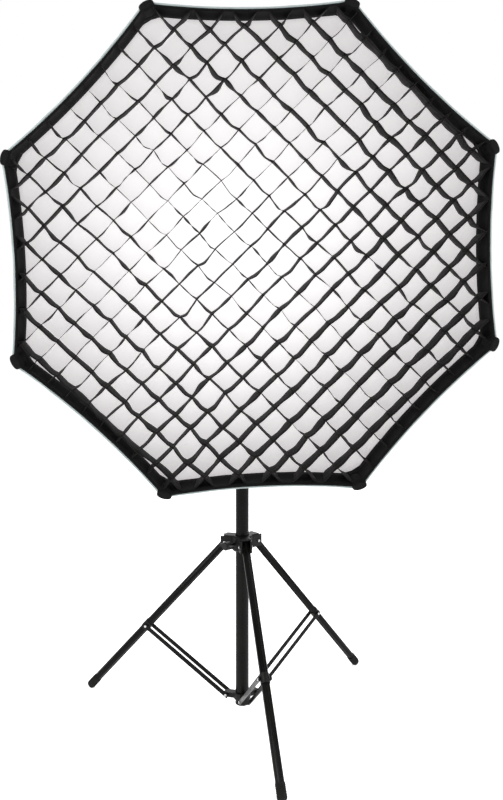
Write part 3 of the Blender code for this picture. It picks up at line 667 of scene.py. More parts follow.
# the pale welt along the rim, between corner and corner, and a black one over each rod
def buildPiping(place):
    pale = bmesh.new()
    depth = softbox["depth"] - piping["inset"]
    radius = rodRadius(depth) + coverAt(depth) + piping["lift"]
    for side in range(8):
        points = []
        for step in range(33):
            share = piping["cornerGap"] + (1 - 2 * piping["cornerGap"]) * step / 32
            flat = sidePoint(side, share, radius, bowAt(depth))
            flat += flat.normalized() * 0.0010 * noise.noise(Vector((side * 5.0, share * 9, 1)))
            points.append(place @ Vector((flat.x, -depth, flat.y)))
        sweep(pale, points, piping["radius"])
    piece = fromShape("rimPiping", pale, ["palePiping"], 60)
    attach(piece, "softbox")
    black = bmesh.new()
    for side in range(8):
        angle = math.radians(45 * side + 22.5)
        points = []
        for step in range(40):
            depth = 0.004 + (softbox["depth"] - 0.03) * step / 39
            radius = rodRadius(depth) + coverAt(depth) + piping["weltLift"]
            points.append(place @ Vector((radius * math.cos(angle), -depth, radius * math.sin(angle))))
        sweep(black, points, piping["weltRadius"], 6)
    piece = fromShape("seamWelts", black, ["hemTape"], 60)
    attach(piece, "softbox")


# a ribbon through rows of points; spread gives each row's UV along it
def strip(shape, uvLayer, rows, spread):
    verts = [[shape.verts.new(point) for point in row] for row in rows]
    for index in range(len(rows) - 1):
        for step in range(len(rows[0]) - 1):
            corners = ((index, step), (index, step + 1), (index + 1, step + 1), (index + 1, step))
            face = shape.faces.new([verts[row][column] for row, column in corners])
            addUv(face, uvLayer, [(spread[row], 0.02 * column) for row, column in corners])


# depth of each row, and how far it lies inside the skin; the outer rows fold back over the rim
lip = {
    "inner": [(0.385, 0.0030), (0.400, 0.0032), (0.415, 0.0034), (0.430, 0.0034),
              (0.442, 0.0032), (0.4485, 0.0028), (0.4515, 0.0012)],
    "outer": [(0.4525, -0.0008), (0.4518, -0.0016), (0.4490, -0.0019), (0.4420, -0.0019), (0.4340, -0.0018)],
    "steps": 48,
    "thickness": 0.0008,
}


# the black inner lip with its hem: the tape that the grid's ends are sewn to
def buildLip(place):
    shape = bmesh.new()
    uvLayer = shape.loops.layers.uv.new("cloth")
    depth = softbox["depth"]
    inner, outer, steps = lip["inner"], lip["outer"], lip["steps"]
    for side in range(8):
        rows, spread = [], []
        for step in range(steps + 1):
            share = step / steps
            row = []
            for level, (at, inset) in enumerate(inner + outer):
                radius = rodRadius(min(at, depth)) + coverAt(min(at, depth)) - inset
                flat = sidePoint(side, share, radius, bowAt(min(at, depth)))
                ripple = 0.0012 * noise.noise(Vector((side * 3.0 + share * 8, at * 20, 7)))
                if level < len(inner):
                    cut = rodRadius(min(at, depth)) - 0.0058
                    flat = flat.normalized() * min(flat.length - abs(ripple), cut)
                else:
                    flat += flat.normalized() * max(ripple, 0) * 0.4
                row.append(place @ Vector((flat.x, -at, flat.y)))
            rows.append(row)
            spread.append(softbox["goreWidth"] * (side + share))
        strip(shape, uvLayer, rows, spread)
    piece = fromShape("lipHem", shape, ["hemTape"], 60)
    wall = piece.modifiers.new("cloth", "SOLIDIFY")
    wall.thickness = lip["thickness"]
    wall.offset = 0
    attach(piece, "softbox")


pockets = {"width": 0.031, "length": 0.050, "thickness": 0.0170, "radius": 0.6020, "depth": 0.4315}


# padded corner pockets that take the rods' tips
def buildPockets(place):
    shape = bmesh.new()
    uvLayer = shape.loops.layers.uv.new("cloth")
    chance = random.Random(5)
    for corner in range(8):
        angle = math.radians(45 * corner + 22.5)
        outward = Vector((math.cos(angle), 0, math.sin(angle)))
        slope = Vector((0.12 * outward.x, -0.99, 0.12 * outward.z)).normalized()
        spot = outward * pockets["radius"] + Vector((0, -pockets["depth"], 0))
        matrix = place @ frameOf(spot, slope, outward) @ Matrix.Rotation(chance.uniform(-0.12, 0.12), 4, "Z")
        made = bmesh.ops.create_cube(shape, size=1, matrix=Matrix.Identity(4), calc_uvs=True)
        faces = list({face for vert in made["verts"] for face in vert.link_faces})
        edges = list({edge for face in faces for edge in face.edges})
        bmesh.ops.subdivide_edges(shape, edges=edges, cuts=2, use_grid_fill=True)
        verts = list({vert for vert in shape.verts if vert.is_valid and not vert.tag})
        for vert in verts:
            x, y, z = vert.co
            crown = 1 - 0.45 * (abs(y) * 2) ** 2
            wide = pockets["width"] * (1.02 if z > 0.1 else 0.96)
            bulge = 1.12 - 0.45 * abs(z) ** 2
            thick = pockets["thickness"] * crown * bulge * 1.35
            vert.co = matrix @ Vector((x * thick, y * wide * 1.15, z * pockets["length"] * 1.1))
            vert.tag = True
    bmesh.ops.recalc_face_normals(shape, faces=shape.faces)
    mesh = bpy.data.meshes.new("cornerPockets")
    shape.to_mesh(mesh)
    shape.free()
    mesh.shade_smooth()
    piece = link("cornerPockets", mesh, ["hemTape"])
    smooth = piece.modifiers.new("soft", "SUBSURF")
    smooth.levels = 2
    smooth.render_levels = 2
    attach(piece, "softbox")


panels = {
    "rings": 44,
    "around": 160,
    "thickness": 0.0006,
    "diffuserPanel": {
        "depth": softbox["diffuserDepth"], "reach": 0.0025, "cut": 0.0062, "billow": 0.003, "seed": 3,
        "material": "diffuserCloth", "node": "front_diffuser",
    },
    "bafflePanel": {
        "depth": softbox["baffleDepth"], "reach": -0.030, "cut": 0.030, "billow": 0.006, "seed": 9,
        "material": "baffleCloth", "node": "inner_baffle",
    },
}

# how each panel's painted glow is laid out: where its middle lies beside the axis, how far the painted light
# reaches, its glow colours
paintedGlowPanels = {
    "diffuserPanel": {
        "beside": (-0.045, 0.03), "reach": 0.66, "strength": 1.0,
        "middle": (1.0, 0.985, 0.985), "edge": (0.42, 0.40, 0.405),
    },
    "bafflePanel": {
        "beside": (0, 0), "reach": 0.45, "strength": 0.8,
        "middle": (1.0, 1.0, 1.0), "edge": (0.7, 0.7, 0.7),
    },
}


# an octagonal sheet held at its edge: it billows a little and has pulls towards its corners
def buildClothPanel(place, name):
    panel = panels[name]
    depth, billow, seed = panel["depth"], panel["billow"], panel["seed"]
    rings, around = panels["rings"], panels["around"]
    shape = bmesh.new()
    uvLayer = shape.loops.layers.uv.new("cloth")
    radius = rodRadius(depth) + panel["reach"]
    centre = shape.verts.new((0, -depth - billow, 0))
    previous = None
    for ring in range(1, rings + 1):
        share = ring / rings
        row = []
        for step in range(around):
            angle = math.tau * step / around
            limit = lipLimit(angle, radius, bowAt(depth), rodRadius(depth) - panel["cut"])
            flat = Vector((math.cos(angle), math.sin(angle))) * limit * share
            fan = math.cos(8 * angle + math.pi)
            pulls = 0.0014 * share ** 3 * math.sin(24 * angle + 5 * share + seed) * (0.6 + 0.4 * fan)
            creases = 0.0018 * noise.noise(Vector((flat.x * 5 + seed, flat.y * 5, 2.0)))
            lift = billow * (1 - share * share) + (pulls + creases) * (1 - share ** 12)
            row.append(shape.verts.new((flat.x, -depth - lift, flat.y)))
        for step in range(around):
            after = (step + 1) % around
            if previous:
                face = shape.faces.new((previous[step], previous[after], row[after], row[step]))
            else:
                face = shape.faces.new((centre, row[after], row[step]))
            for loop in face.loops:
                loop[uvLayer].uv = (loop.vert.co.x, loop.vert.co.z)
        previous = row
    bmesh.ops.transform(shape, matrix=place, verts=shape.verts)
    piece = fromShape(name, shape, [panel["material"]], 0)
    piece.data.shade_smooth()
    area = sum(polygon.area for polygon in piece.data.polygons)
    wide = 2 * radius
    area = min(area, wide * wide)
    wall = piece.modifiers.new("cloth", "SOLIDIFY")
    wall.thickness = panels["thickness"]
    wall.offset = 0
    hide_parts(panel["node"])
    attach(piece, "softbox")
    return piece


# egg-crate grid

grid = {
    "seed": 11,
    "crossing": (-0.0494, 0.0543),
    "risingAngle": 42.9,
    "fallingAngle": 134.5,
    "risingSpacing": 0.0523,
    "fallingSpacing": 0.0585,
    "jitter": 0.0017,
    "lean": 0.0012,
    "sag": 0.0026,
    "sagSpread": 0.0020,
    "twist": 0.0036,
    "twistShare": 0.13,
    "thickness": 0.0009,
    "segments": 10,
    "layers": 3,
    "boltWidth": 1.5,  # all the strips are cut from one roll this wide
}


def lipRadius(depth):
    return rodRadius(depth) + coverAt(depth) - 0.0040


# distance from a point inside the lip, along a direction, to the lip's wall at a depth
def reachAlong(point, way, depth):
    low, high = 0.0, 1.4
    for _ in range(28):
        middle = (low + high) / 2
        spot = point + way * middle
        angle = math.atan2(spot.y, spot.x)
        if spot.length < lipLimit(angle, lipRadius(depth), bowAt(depth), rodRadius(depth) - 0.0066):
            low = middle
        else:
            high = middle
    return low


def lineCrossing(pointA, wayA, pointB, wayB):
    cross = wayA.x * wayB.y - wayA.y * wayB.x
    gap = pointB - pointA
    return (gap.x * wayB.y - gap.y * wayB.x) / cross


def gridLines(angle, spacing, count):
    way = Vector((math.cos(math.radians(angle)), math.sin(math.radians(angle))))
    normal = Vector((-way.y, way.x))
    start = Vector(grid["crossing"])
    return [(start + normal * spacing * index, way, index) for index in range(-count, count + 1)]


# the same small shift for both strips that meet at a crossing, in front and at the back
def crossingJitter(first, second):
    chance = random.Random(grid["seed"] * 100003 + (first + 50) * 211 + second + 50)
    jitter, lean = grid["jitter"], grid["lean"]
    front = Vector((chance.gauss(0, jitter), chance.gauss(-0.4 * jitter, jitter)))
    back = front + Vector((chance.gauss(0, lean), chance.gauss(0, lean)))
    dip = abs(chance.gauss(0, 0.0010))
    return front, back, dip


def buildGrid(place):
    shape = bmesh.new()
    uvLayer = shape.loops.layers.uv.new("cloth")
    rising = gridLines(grid["risingAngle"], grid["risingSpacing"], 13)
    falling = gridLines(grid["fallingAngle"], grid["fallingSpacing"], 12)
    chance = random.Random(grid["seed"])
    clothArea = 0.0
    for family, others, flip in ((rising, falling, False), (falling, rising, True)):
        for start, way, index in family:
            clothArea += gridStrip(shape, uvLayer, place, start, way, index, others, flip, chance)
    piece = fromShape("eggCrateGrid", shape, ["webbing"], 0)
    piece.data.shade_smooth()
    wall = piece.modifiers.new("cloth", "SOLIDIFY")
    wall.thickness = grid["thickness"]
    wall.offset = 0
    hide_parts("front_grid")
    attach(piece, "softbox")
    print("grid cloth area", round(clothArea, 3))


# a kinked sag: 0 at both ends and 1 at the peak
def slackShape(share, peak):
    if not 0 < share < 1:
        return 0.0
    rise = share / peak
    fall = (1 - share) / (1 - peak)
    return max(0.0, -math.log(math.exp(-7 * rise) + math.exp(-7 * fall)) / 7 + 0.09)


# one strip from wall to wall: knots at the crossings, and slack that hangs between them
def gridStrip(shape, uvLayer, place, start, way, index, others, flip, chance):
    front, back = softbox["gridFront"], softbox["gridBack"]
    normal = Vector((-way.y, way.x))
    down = -1 if normal.y > 0 else 1
    base = start - way * start.dot(way)
    limit = lipLimit(math.atan2(base.y, base.x), lipRadius(back), bowAt(back), rodRadius(back) - 0.0066)
    if base.length > limit - 0.006:
        return 0.0
    ends = {}
    for depth in (front, back):
        ends[depth] = (-reachAlong(base, -way, depth), reachAlong(base, way, depth))
    knots = []
    for otherStart, otherWay, otherIndex in others:
        spot = lineCrossing(base, way, otherStart, otherWay)
        if ends[back][0] + 0.004 < spot < ends[back][1] - 0.004:
            pair = (otherIndex, index) if flip else (index, otherIndex)
            knots.append((spot, *crossingJitter(*pair)))
    knots.sort(key=lambda knot: knot[0])
    still = (Vector((0, 0)), Vector((0, 0)), 0.0)
    stations = [(ends[front][0], ends[back][0], *still)]
    stations += [(spot, spot, *rest) for spot, *rest in knots]
    stations += [(ends[front][1], ends[back][1], *still)]
    rows, spread = [], []
    layers = grid["layers"]
    for first, second in zip(stations, stations[1:]):
        length = second[0] - first[0]
        slack = min(1.0, length / 0.05)
        sag = max(-0.0006, chance.gauss(grid["sag"] if flip else grid["sag"] * 0.55, grid["sagSpread"]))
        peak = chance.uniform(0.60, 0.80)
        peak = peak if (way.y < 0) else 1 - peak
        twisted = chance.random() < grid["twistShare"]
        twist = chance.gauss(0, grid["twist"] if twisted else 0.0006)
        ripple = chance.gauss(0, 0.0007)
        last = second is stations[-1]
        for step in range(grid["segments"] + (1 if last else 0)):
            share = step / grid["segments"]
            hang = slack * down * sag * slackShape(share, peak)
            curl = slack * ripple * math.sin(math.tau * share)
            bend = hang + curl
            bendBack = hang * 0.85 - curl + slack * twist * math.sin(math.pi * share) ** 2
            ease = share * share * (3 - 2 * share)
            alongFront = first[0] + (second[0] - first[0]) * share
            alongBack = first[1] + (second[1] - first[1]) * share
            jitterFront = first[2].lerp(second[2], share)
            jitterBack = first[3].lerp(second[3], share)
            dip = first[4] + (second[4] - first[4]) * ease + 0.0012 * slack * math.sin(math.pi * share)
            frontSpot = base + way * alongFront + normal * bend + jitterFront
            backSpot = base + way * alongBack + normal * bendBack + jitterBack
            row = []
            for layer in range(layers + 1):
                part = layer / layers
                flat = frontSpot.lerp(backSpot, part)
                depth = (front - dip) * (1 - part) + back * part
                row.append(place @ Vector((flat.x, -depth, flat.y)))
            rows.append(row)
            spread.append(alongFront)
    strip(shape, uvLayer, rows, spread)
    return (spread[-1] - spread[0]) * (front - back)


# repeats made with geometry nodes

def nodeTree(name, sizes):
    tree = bpy.data.node_groups.new(name, "GeometryNodeTree")
    tree.interface.new_socket("Geometry", in_out="INPUT", socket_type="NodeSocketGeometry")
    for label, value in sizes.items():
        socket = tree.interface.new_socket(label, in_out="INPUT", socket_type="NodeSocketFloat")
        socket.default_value = value
    tree.interface.new_socket("Geometry", in_out="OUTPUT", socket_type="NodeSocketGeometry")
    return tree, tree.nodes.new("NodeGroupInput"), tree.nodes.new("NodeGroupOutput")


def finishTree(tree, geometry, end, materialName):
    realize = tree.nodes.new("GeometryNodeRealizeInstances")
    paint = tree.nodes.new("GeometryNodeSetMaterial")
    paint.inputs["Material"].default_value = materials[materialName]
    tree.links.new(geometry, realize.inputs[0])
    tree.links.new(realize.outputs[0], paint.inputs["Geometry"])
    tree.links.new(paint.outputs[0], end.inputs[0])


# short thread ticks along a path of edges
def stitchTree():
    tree, start, end = nodeTree("stitchRow", {"Pitch": 0.006, "Thread": 0.0004, "Length": 0.0034})
    join = tree.links.new
    path = tree.nodes.new("GeometryNodeMeshToCurve")
    join(start.outputs["Geometry"], path.inputs[0])
    points = tree.nodes.new("GeometryNodeCurveToPoints")
    points.mode = "LENGTH"
    join(path.outputs[0], points.inputs[0])
    join(start.outputs["Pitch"], points.inputs["Length"])
    tick = tree.nodes.new("GeometryNodeMeshCylinder")
    tick.inputs["Vertices"].default_value = 5
    join(start.outputs["Thread"], tick.inputs["Radius"])
    join(start.outputs["Length"], tick.inputs["Depth"])
    align = tree.nodes.new("FunctionNodeAlignEulerToVector")
    align.axis = "Z"
    join(points.outputs["Tangent"], align.inputs["Vector"])
    copies = tree.nodes.new("GeometryNodeInstanceOnPoints")
    join(points.outputs["Points"], copies.inputs["Points"])
    join(tick.outputs["Mesh"], copies.inputs["Instance"])
    join(align.outputs[0], copies.inputs["Rotation"])
    finishTree(tree, copies.outputs[0], end, "stitchThread")
    return tree


# copies of a small turned head on points whose normals say which way they face
def scatterTree(name, radius, height, materialName):
    tree, start, end = nodeTree(name, {"Radius": radius, "Height": height})
    join = tree.links.new
    dome = tree.nodes.new("GeometryNodeMeshUVSphere")
    dome.inputs["Segments"].default_value = 16
    dome.inputs["Rings"].default_value = 8
    join(start.outputs["Radius"], dome.inputs["Radius"])
    squash = tree.nodes.new("GeometryNodeTransform")
    join(dome.outputs["Mesh"], squash.inputs[0])
    flat = tree.nodes.new("ShaderNodeCombineXYZ")
    flat.inputs[0].default_value = 1
    flat.inputs[1].default_value = 1
    join(start.outputs["Height"], flat.inputs[2])
    join(flat.outputs[0], squash.inputs["Scale"])
    way = tree.nodes.new("GeometryNodeInputNamedAttribute")
    way.data_type = "FLOAT_VECTOR"
    way.inputs["Name"].default_value = "facing"
    align = tree.nodes.new("FunctionNodeAlignEulerToVector")
    align.axis = "Z"
    join(way.outputs[0], align.inputs["Vector"])
    copies = tree.nodes.new("GeometryNodeInstanceOnPoints")
    join(start.outputs["Geometry"], copies.inputs["Points"])
    join(squash.outputs[0], copies.inputs["Instance"])
    join(align.outputs[0], copies.inputs["Rotation"])
    finishTree(tree, copies.outputs[0], end, materialName)
    return tree


# runs a tree on a guide mesh and keeps the result as a plain mesh
def growTree(name, mesh, tree, sizes, body):
    guide = bpy.data.objects.new(name + "Guide", mesh)
    bpy.context.scene.collection.objects.link(guide)
    modifier = guide.modifiers.new("grow", "NODES")
    modifier.node_group = tree
    for item in tree.interface.items_tree:
        if item.item_type == "SOCKET" and item.in_out == "INPUT" and item.name in sizes:
            modifier[item.identifier] = sizes[item.name]
    graph = bpy.context.evaluated_depsgraph_get()
    result = bpy.data.meshes.new_from_object(guide.evaluated_get(graph))
    result.name = name
    bpy.data.objects.remove(guide, do_unlink=True)
    piece = bpy.data.objects.new(name, result)
    bpy.context.scene.collection.objects.link(piece)
    piece.data.shade_smooth()
    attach(piece, body)
    return piece


def pathMesh(name, paths):
    mesh = bpy.data.meshes.new(name)
    points, edges = [], []
    for path in paths:
        base = len(points)
        points += [tuple(point) for point in path]
        edges += [(base + i, base + i + 1) for i in range(len(path) - 1)]
    mesh.from_pydata(points, edges, [])
    return mesh


# points with the way each one faces, for the scatter trees
def pointMesh(name, spots):
    mesh = bpy.data.meshes.new(name)
    mesh.from_pydata([tuple(spot) for spot, _ in spots], [], [])
    facing = mesh.attributes.new("facing", "FLOAT_VECTOR", "POINT")
    for index, (_, way) in enumerate(spots):
        facing.data[index].vector = tuple(way)
    return mesh


stitches = {
    "pitch": 0.0065,
    "rimDepths": (0.4360, 0.4300),
    "rimLift": 0.00045,
    "besideSeam": 0.012,
    "seamLift": 0.0003,
}


# two rows round the rim and one on each side of every seam
def buildStitches(place):
    tree = stitchTree()
    paths = []
    for side in range(8):
        for depth in stitches["rimDepths"]:
            path = []
            for step in range(30):
                share = 0.04 + 0.92 * step / 29
                point = skinPoint(side, share, depth)
                outward = Vector((point.x, 0, point.z)).normalized()
                path.append(place @ (point + outward * stitches["rimLift"]))
            paths.append(path)
        for way in (1, -1):
            path = []
            for step in range(36):
                depth = 0.02 + 0.40 * step / 35
                radius = rodRadius(depth) + coverAt(depth)
                half = 2 * radius * math.sin(math.radians(22.5))
                share = stitches["besideSeam"] / half
                share = share if way > 0 else 1 - share
                point = skinPoint(side, share, depth)
                outward = Vector((point.x, 0, point.z)).normalized()
                path.append(place @ (point + outward * stitches["seamLift"]))
            paths.append(path)
    guide = pathMesh("skinStitchPaths", paths)
    growTree("skinStitches", guide, tree, {"Pitch": stitches["pitch"]}, "softbox")


def buildSoftbox():
    place = softboxFrame()
    buildSkin(place)
    print("skin done")
    buildPiping(place)
    buildLip(place)
    buildPockets(place)
    # paints each panel's glow into its cloth's emission, centred beside the axis
    for name, light in paintedGlowPanels.items():
        x, z = light["beside"]
        centre = place @ Vector((x, -panels[name]["depth"], z))
        paintedGlowCloth(panels[name]["material"], {**light, "centre": centre})
    for name in paintedGlowPanels:
        buildClothPanel(place, name)
    print("panels done")
    buildGrid(place)
    buildStitches(place)
    print("softbox done")


buildCamera()
buildLights()
buildFloor()
buildMaterials()
buildSoftbox()


# the stand and the head: finer copies of the frame's hard parts

bodyOf = {node: body for body, members in frame["record"]["behaviour"]["bodies"].items() for node in members}
slotOf = {entry["node"]: entry["material_slot"] for entry in frame["record"]["subparts"]}

nodeFinishes = {
    "satin_black": "satinEnamel",
    "cast_black": "castEnamel",
    "black_plastic": "mouldedNylon",
    "black_rubber": "footRubber",
    "bright_steel": "turnedSteel",
    "head_grey": "headPaint",
    "clear_glass": "domeGlass",
    "lamp_glass": "frostedLamp",
    "board_green": "boardMask",
    "red_plastic": "redButton",
    "white_nylon": "reflectorPlate",
    "rod_fibre": "fibreRod",
}


def finishRide(piece, node):
    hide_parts(node)
    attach(piece, bodyOf[node])
    return piece


# a copy of a frame node: triangles merged, flat faces joined, edges rounded
def refineNode(node, edge=0.0008, segments=2, sharp=33):
    shape = bmesh.new()
    shape.from_mesh(nodes[node].data)
    bmesh.ops.remove_doubles(shape, verts=shape.verts, dist=2e-6)
    flatAngle = math.radians(1.5)
    bmesh.ops.dissolve_limit(shape, angle_limit=flatAngle, verts=shape.verts, edges=shape.edges)
    piece = fromShape(node + "Fine", shape, [nodeFinishes[slotOf[node]]], sharp)
    rounded = piece.modifiers.new("edges", "BEVEL")
    rounded.width = edge
    rounded.segments = segments
    rounded.limit_method = "ANGLE"
    rounded.angle_limit = math.radians(sharp)
    normals = piece.modifiers.new("normals", "WEIGHTED_NORMAL")
    normals.keep_sharp = True
    return finishRide(piece, node)


# middles of a tube node's two ends, lower one first
def tubeEnds(node):
    spots = sorted((vert.co.copy() for vert in nodes[node].data.vertices), key=lambda spot: spot.z)
    half = len(spots) // 2
    ends = []
    for part in (spots[:half], spots[half:]):
        unique = {tuple(round(value, 5) for value in spot) for spot in part}
        ends.append(sum((Vector(spot) for spot in unique), Vector()) / len(unique))
    return ends


tubes = {
    "column_tube": {"wall": 0.0022, "steps": 72},
    "riser_1_tube": {"wall": 0.0015, "steps": 64},
    "riser_2_tube": {"wall": 0.0015, "steps": 64},
}


def buildUprights():
    for node, tube in tubes.items():
        low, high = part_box(node)
        radius = (high.x - low.x) / 2
        inner = radius - tube["wall"]
        profile = [(radius, low.z), (radius, high.z), (inner, high.z), (inner, low.z)]
        shape = bmesh.new()
        rounded = roundedProfile(profile, 0.0005, True)
        lathe(shape, rounded, Matrix.Translation(columnAxis()), tube["steps"], True)
        finishRide(fromShape(node + "Fine", shape, [nodeFinishes[slotOf[node]]]), node)


legs = {
    "sides": ("left", "front", "right"),
    "flute": 0.0016,
    "fluteWidth": 20,
    "flutesAt": (28, -28, 152, -152),
    "around": 72,
    "wall": 0.0018,
    "edge": 0.0006,
    "mouth": 0.010,
}

feet = {
    "wall": 0.0012,
    "ribs": 5,
    "firstRib": 0.006,
    "ribPitch": 0.0036,
    "groove": 0.0007,
    "gripLength": 0.026,
    "around": 48,
    "cutHeight": 0.0001,
}


# the drawn section of a leg: round, with two shallow flutes above and two below
def legRadius(degrees, radius):
    depth = 0.0
    for at in legs["flutesAt"]:
        away = abs((degrees - at + 180) % 360 - 180) / legs["fluteWidth"]
        if away < 1:
            depth = max(depth, (1 - away * away) ** 0.5)
    return radius - legs["flute"] * depth


def buildLegs():
    for side in legs["sides"]:
        node = side + "_leg_tube"
        foot, top = tubeEnds(node)
        way = (top - foot).normalized()
        size = max((vert.co - foot).cross(way).length for vert in nodes[node].data.vertices)
        matrix = frameOf(foot, way, up)
        length = (top - foot).length
        shape = bmesh.new()
        rings = []
        edge, wall = legs["edge"], legs["wall"]
        profile = [(0, 0.0), (length - edge, 0.0), (length, edge), (length, wall), (length - legs["mouth"], wall)]
        for height, shrink in profile:
            ring = []
            for step in range(legs["around"]):
                degrees = 360 * step / legs["around"]
                reach = legRadius(degrees, size) - shrink
                turn = math.radians(degrees)
                spot = Vector((reach * math.cos(turn), reach * math.sin(turn), height))
                ring.append(shape.verts.new(matrix @ spot))
            rings.append(ring)
        for first, second in zip(rings, rings[1:]):
            for step in range(legs["around"]):
                after = (step + 1) % legs["around"]
                shape.faces.new((first[step], first[after], second[after], second[step]))
        shape.faces.new(rings[0])
        shape.faces.new(rings[-1])
        finishRide(fromShape(node + "Fine", shape, [nodeFinishes[slotOf[node]]], 50), node)


# a moulded boot over the end of each leg, ribbed where it grips, cut flat where it stands
def buildFeet():
    for side in legs["sides"]:
        node = side + "_leg_foot"
        foot, top = tubeEnds(side + "_leg_tube")
        way = (foot - top).normalized()
        corners = [vert.co for vert in nodes[node].data.vertices]
        spans = [(corner - foot).dot(way) for corner in corners]
        radius = max((corner - foot).cross(way).length for corner in corners)
        inner = radius - feet["wall"]
        low = radius - feet["groove"]
        start, end = min(spans), max(spans)
        profile = [(inner, start), (radius - 0.0004, start)]
        for rib in range(feet["ribs"]):
            at = start + feet["firstRib"] + feet["ribPitch"] * rib
            profile += [(radius, at), (radius, at + 0.0014), (low, at + 0.0018), (low, at + 0.0032)]
        profile += [(radius, start + feet["gripLength"]), (radius, end - 0.008)]
        profile += [(radius * 0.90, end - 0.003), (radius * 0.66, end - 0.0004)]
        profile += [(0, end), (0, 0.001), (inner, 0.001)]
        shape = bmesh.new()
        lathe(shape, roundedProfile(profile, 0.0005), frameOf(foot, way, up), feet["around"], True)
        bmesh.ops.remove_doubles(shape, verts=shape.verts, dist=1e-6)
        everything = shape.verts[:] + shape.edges[:] + shape.faces[:]
        floorAt, down = (0, 0, feet["cutHeight"]), (0, 0, -1)
        cut = bmesh.ops.bisect_plane(shape, geom=everything, plane_co=floorAt, plane_no=down, clear_outer=True)
        rim = [item for item in cut["geom_cut"] if isinstance(item, bmesh.types.BMEdge)]
        if rim:
            bmesh.ops.contextual_create(shape, geom=rim)
        finishRide(fromShape(node + "Fine", shape, [nodeFinishes[slotOf[node]]], 45), node)


def buildBraces():
    for side in legs["sides"]:
        for letter in ("a", "b"):
            refineNode(side + "_brace_bar_" + letter, 0.0009, 3, 28)


rivets = {"radius": 0.0040, "hubRadius": 0.0044, "height": 0.55, "sunk": 0.0002, "nearPivot": 0.026}


# bright domed rivets where the bars meet the legs and the lower hub, and through the sliding hub's ears
def buildRivets():
    tree = scatterTree("rivetHeads", rivets["radius"], rivets["height"], "rivetSteel")
    hubSpots = []
    for side in legs["sides"]:
        foot, top = tubeEnds(side + "_leg_tube")
        across = (top - foot).cross(up).normalized()
        for letter in ("a", "b"):
            node = side + "_brace_bar_" + letter
            corners = [vert.co for vert in nodes[node].data.vertices]
            outer = max(((corner - foot).dot(across) for corner in corners), key=abs)
            face = across if outer > 0 else -across
            guide = pointMesh(node + "RivetSpots", [(spot, face) for spot in braceRivetSpots(node, face)])
            growTree(node + "Rivets", guide, tree, {"Radius": rivets["radius"]}, bodyOf[node])
        pivot = Vector(joints[side + "_leg_fold"]["pos_m"])
        reach = hubEarReach(pivot, across) - rivets["sunk"]
        hubSpots += [(pivot + face * reach, face) for face in (across, -across)]
    guide = pointMesh("hubRivetSpots", hubSpots)
    growTree("hubRivets", guide, tree, {"Radius": rivets["hubRadius"]}, "spreader")


# the two rivet middles on a bar's outer face
def braceRivetSpots(node, face):
    corners = [vert.co.copy() for vert in nodes[node].data.vertices]
    furthest = max(corner.dot(face) for corner in corners)
    flat = [corner for corner in corners if corner.dot(face) > furthest - 0.0003]
    outer = [Vector(spot) for spot in {tuple(round(value, 5) for value in corner) for corner in flat}]
    middle = (max(spot.z for spot in outer) + min(spot.z for spot in outer)) / 2
    spots = []
    for part in ([spot for spot in outer if spot.z > middle], [spot for spot in outer if spot.z <= middle]):
        if part:
            spots.append(sum(part, Vector()) / len(part) - face * rivets["sunk"])
    return spots


# how far the sliding hub's ears reach sideways from a leg's pivot
def hubEarReach(pivot, across):
    offsets = [vert.co - pivot for vert in nodes["spread_hub"].data.vertices]
    return max(abs(offset.dot(across)) for offset in offsets if offset.length < rivets["nearPivot"])


# everything else keeps its frame shape, with rounded edges: the edge's width and its steps
refined = {
    "column_end_cap": (0.0008, 2),
    "lower_hub": (0.0012, 3),
    "column_clamp": (0.0014, 3),
    "column_clamp_knob": (0.0014, 3),
    "spread_hub": (0.0014, 3),
    "spread_lock_knob": (0.0016, 3),
    "left_leg_bracket": (0.0006, 2),
    "front_leg_bracket": (0.0006, 2),
    "right_leg_bracket": (0.0006, 2),
    "riser_1_clamp": (0.0014, 3),
    "riser_1_clamp_knob": (0.0014, 3),
    "stand_spigot": (0.0004, 2),
    "swivel_socket": (0.0010, 3),
    "socket_knob": (0.0014, 3),
    "tilt_yoke": (0.0010, 3),
    "tilt_handle": (0.0012, 3),
    "head_housing": (0.0010, 3),
    "head_rear_panel": (0.0008, 2),
    "head_front_ring": (0.0008, 2),
    "power_dial": (0.0008, 3),
    "power_switch": (0.0006, 2),
    "test_button": (0.0006, 2),
    "mount_release": (0.0010, 3),
    "power_inlet": (0.0005, 2),
    "speed_ring": (0.0009, 2),
}


def buildHardParts():
    for node, (edge, segments) in refined.items():
        refineNode(node, edge, segments)
    kept = set(slotOf) - set(refined) - set(tubes)
    for node in sorted(kept):
        finish = nodeFinishes.get(slotOf[node])
        if finish and not nodes[node].hide_render:
            nodes[node].data.materials.clear()
            nodes[node].data.materials.append(materials[finish])


head = {
    "screwRadius": 0.0030,
    "screwHeight": 0.45,
    "screwInset": 0.012,
    "ticks": 11,
    "tickSweep": 270,
    "tickGap": 0.0042,
    "tickSize": (0.0034, 0.0008, 0.0004),
    "longTick": 0.0050,
    "louvres": 9,
    "louvreStart": -0.028,
    "louvrePitch": 0.009,
    "louvreRise": 0.012,
    "louvreSize": (0.0018, 0.0036, 0.042),
}


def middleOf(node):
    corners = [vert.co for vert in nodes[node].data.vertices]
    return sum(corners, Vector()) / len(corners)


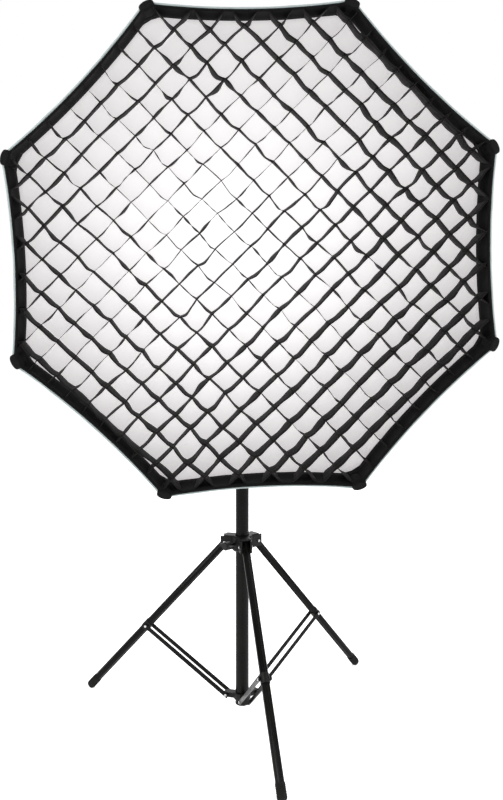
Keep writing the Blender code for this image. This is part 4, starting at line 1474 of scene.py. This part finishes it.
# cooling louvres on both flanks, panel screws and the dial's scale
def buildHeadDetails():
    back = -Vector(joints["softbox_turn"]["axis"]).normalized()
    if back.y < 0:
        back = -back
    side = Vector((1, 0, 0))
    top = side.cross(back).normalized()
    centre = middleOf("head_rear_panel")
    spans = [vert.co - centre for vert in nodes["head_rear_panel"].data.vertices]
    depth, wide, tall = (max(span.dot(way) for span in spans) for way in (back, side, top))
    inset = head["screwInset"]
    spots = []
    for x in (-1, 1):
        for z in (-1, 1):
            corner = side * x * (wide - inset) + top * z * (tall - inset)
            spots.append((centre + corner + back * (depth - 0.0003), back))
    tree = scatterTree("panelScrews", head["screwRadius"], head["screwHeight"], "turnedSteel")
    growTree("panelScrews", pointMesh("panelScrewSpots", spots), tree, {}, "head")

    dial = middleOf("power_dial")
    spans = [vert.co - dial for vert in nodes["power_dial"].data.vertices]
    radius = max((span - back * span.dot(back)).length for span in spans)
    onPanel = dial + back * ((centre - dial).dot(back) + depth + 0.0001)
    ticks = bmesh.new()
    for tick in range(head["ticks"]):
        angle = math.radians(225 - head["tickSweep"] * tick / (head["ticks"] - 1))
        out = side * math.cos(angle) + top * math.sin(angle)
        long, across, thick = head["tickSize"]
        size = (long if tick % 5 else head["longTick"], across, thick)
        bevelledBox(ticks, size, frameOf(onPanel + out * (radius + head["tickGap"]), back, out), 0)
    piece = fromShape("dialScale", ticks, ["palePiping"], 0)
    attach(piece, "head")

    low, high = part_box("head_housing")
    middle = (low + high) / 2
    flank = (high.x - low.x) / 2 + 0.0002
    louvres = bmesh.new()
    for way in (-1, 1):
        for slot in range(head["louvres"]):
            spot = middle + Vector((way * flank, 0, head["louvreRise"]))
            spot += back * (head["louvreStart"] + head["louvrePitch"] * slot)
            bevelledBox(louvres, head["louvreSize"], frameOf(spot, top, (way, 0, 0)), 0.0005)
    piece = fromShape("coolingLouvres", louvres, ["mouldedNylon"], 40)
    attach(piece, "head")


def buildStand():
    buildUprights()
    buildLegs()
    buildFeet()
    buildBraces()
    buildRivets()
    print("stand done")
    buildHardParts()
    buildHeadDetails()
    print("head done")


buildStand()
print("all stages done")
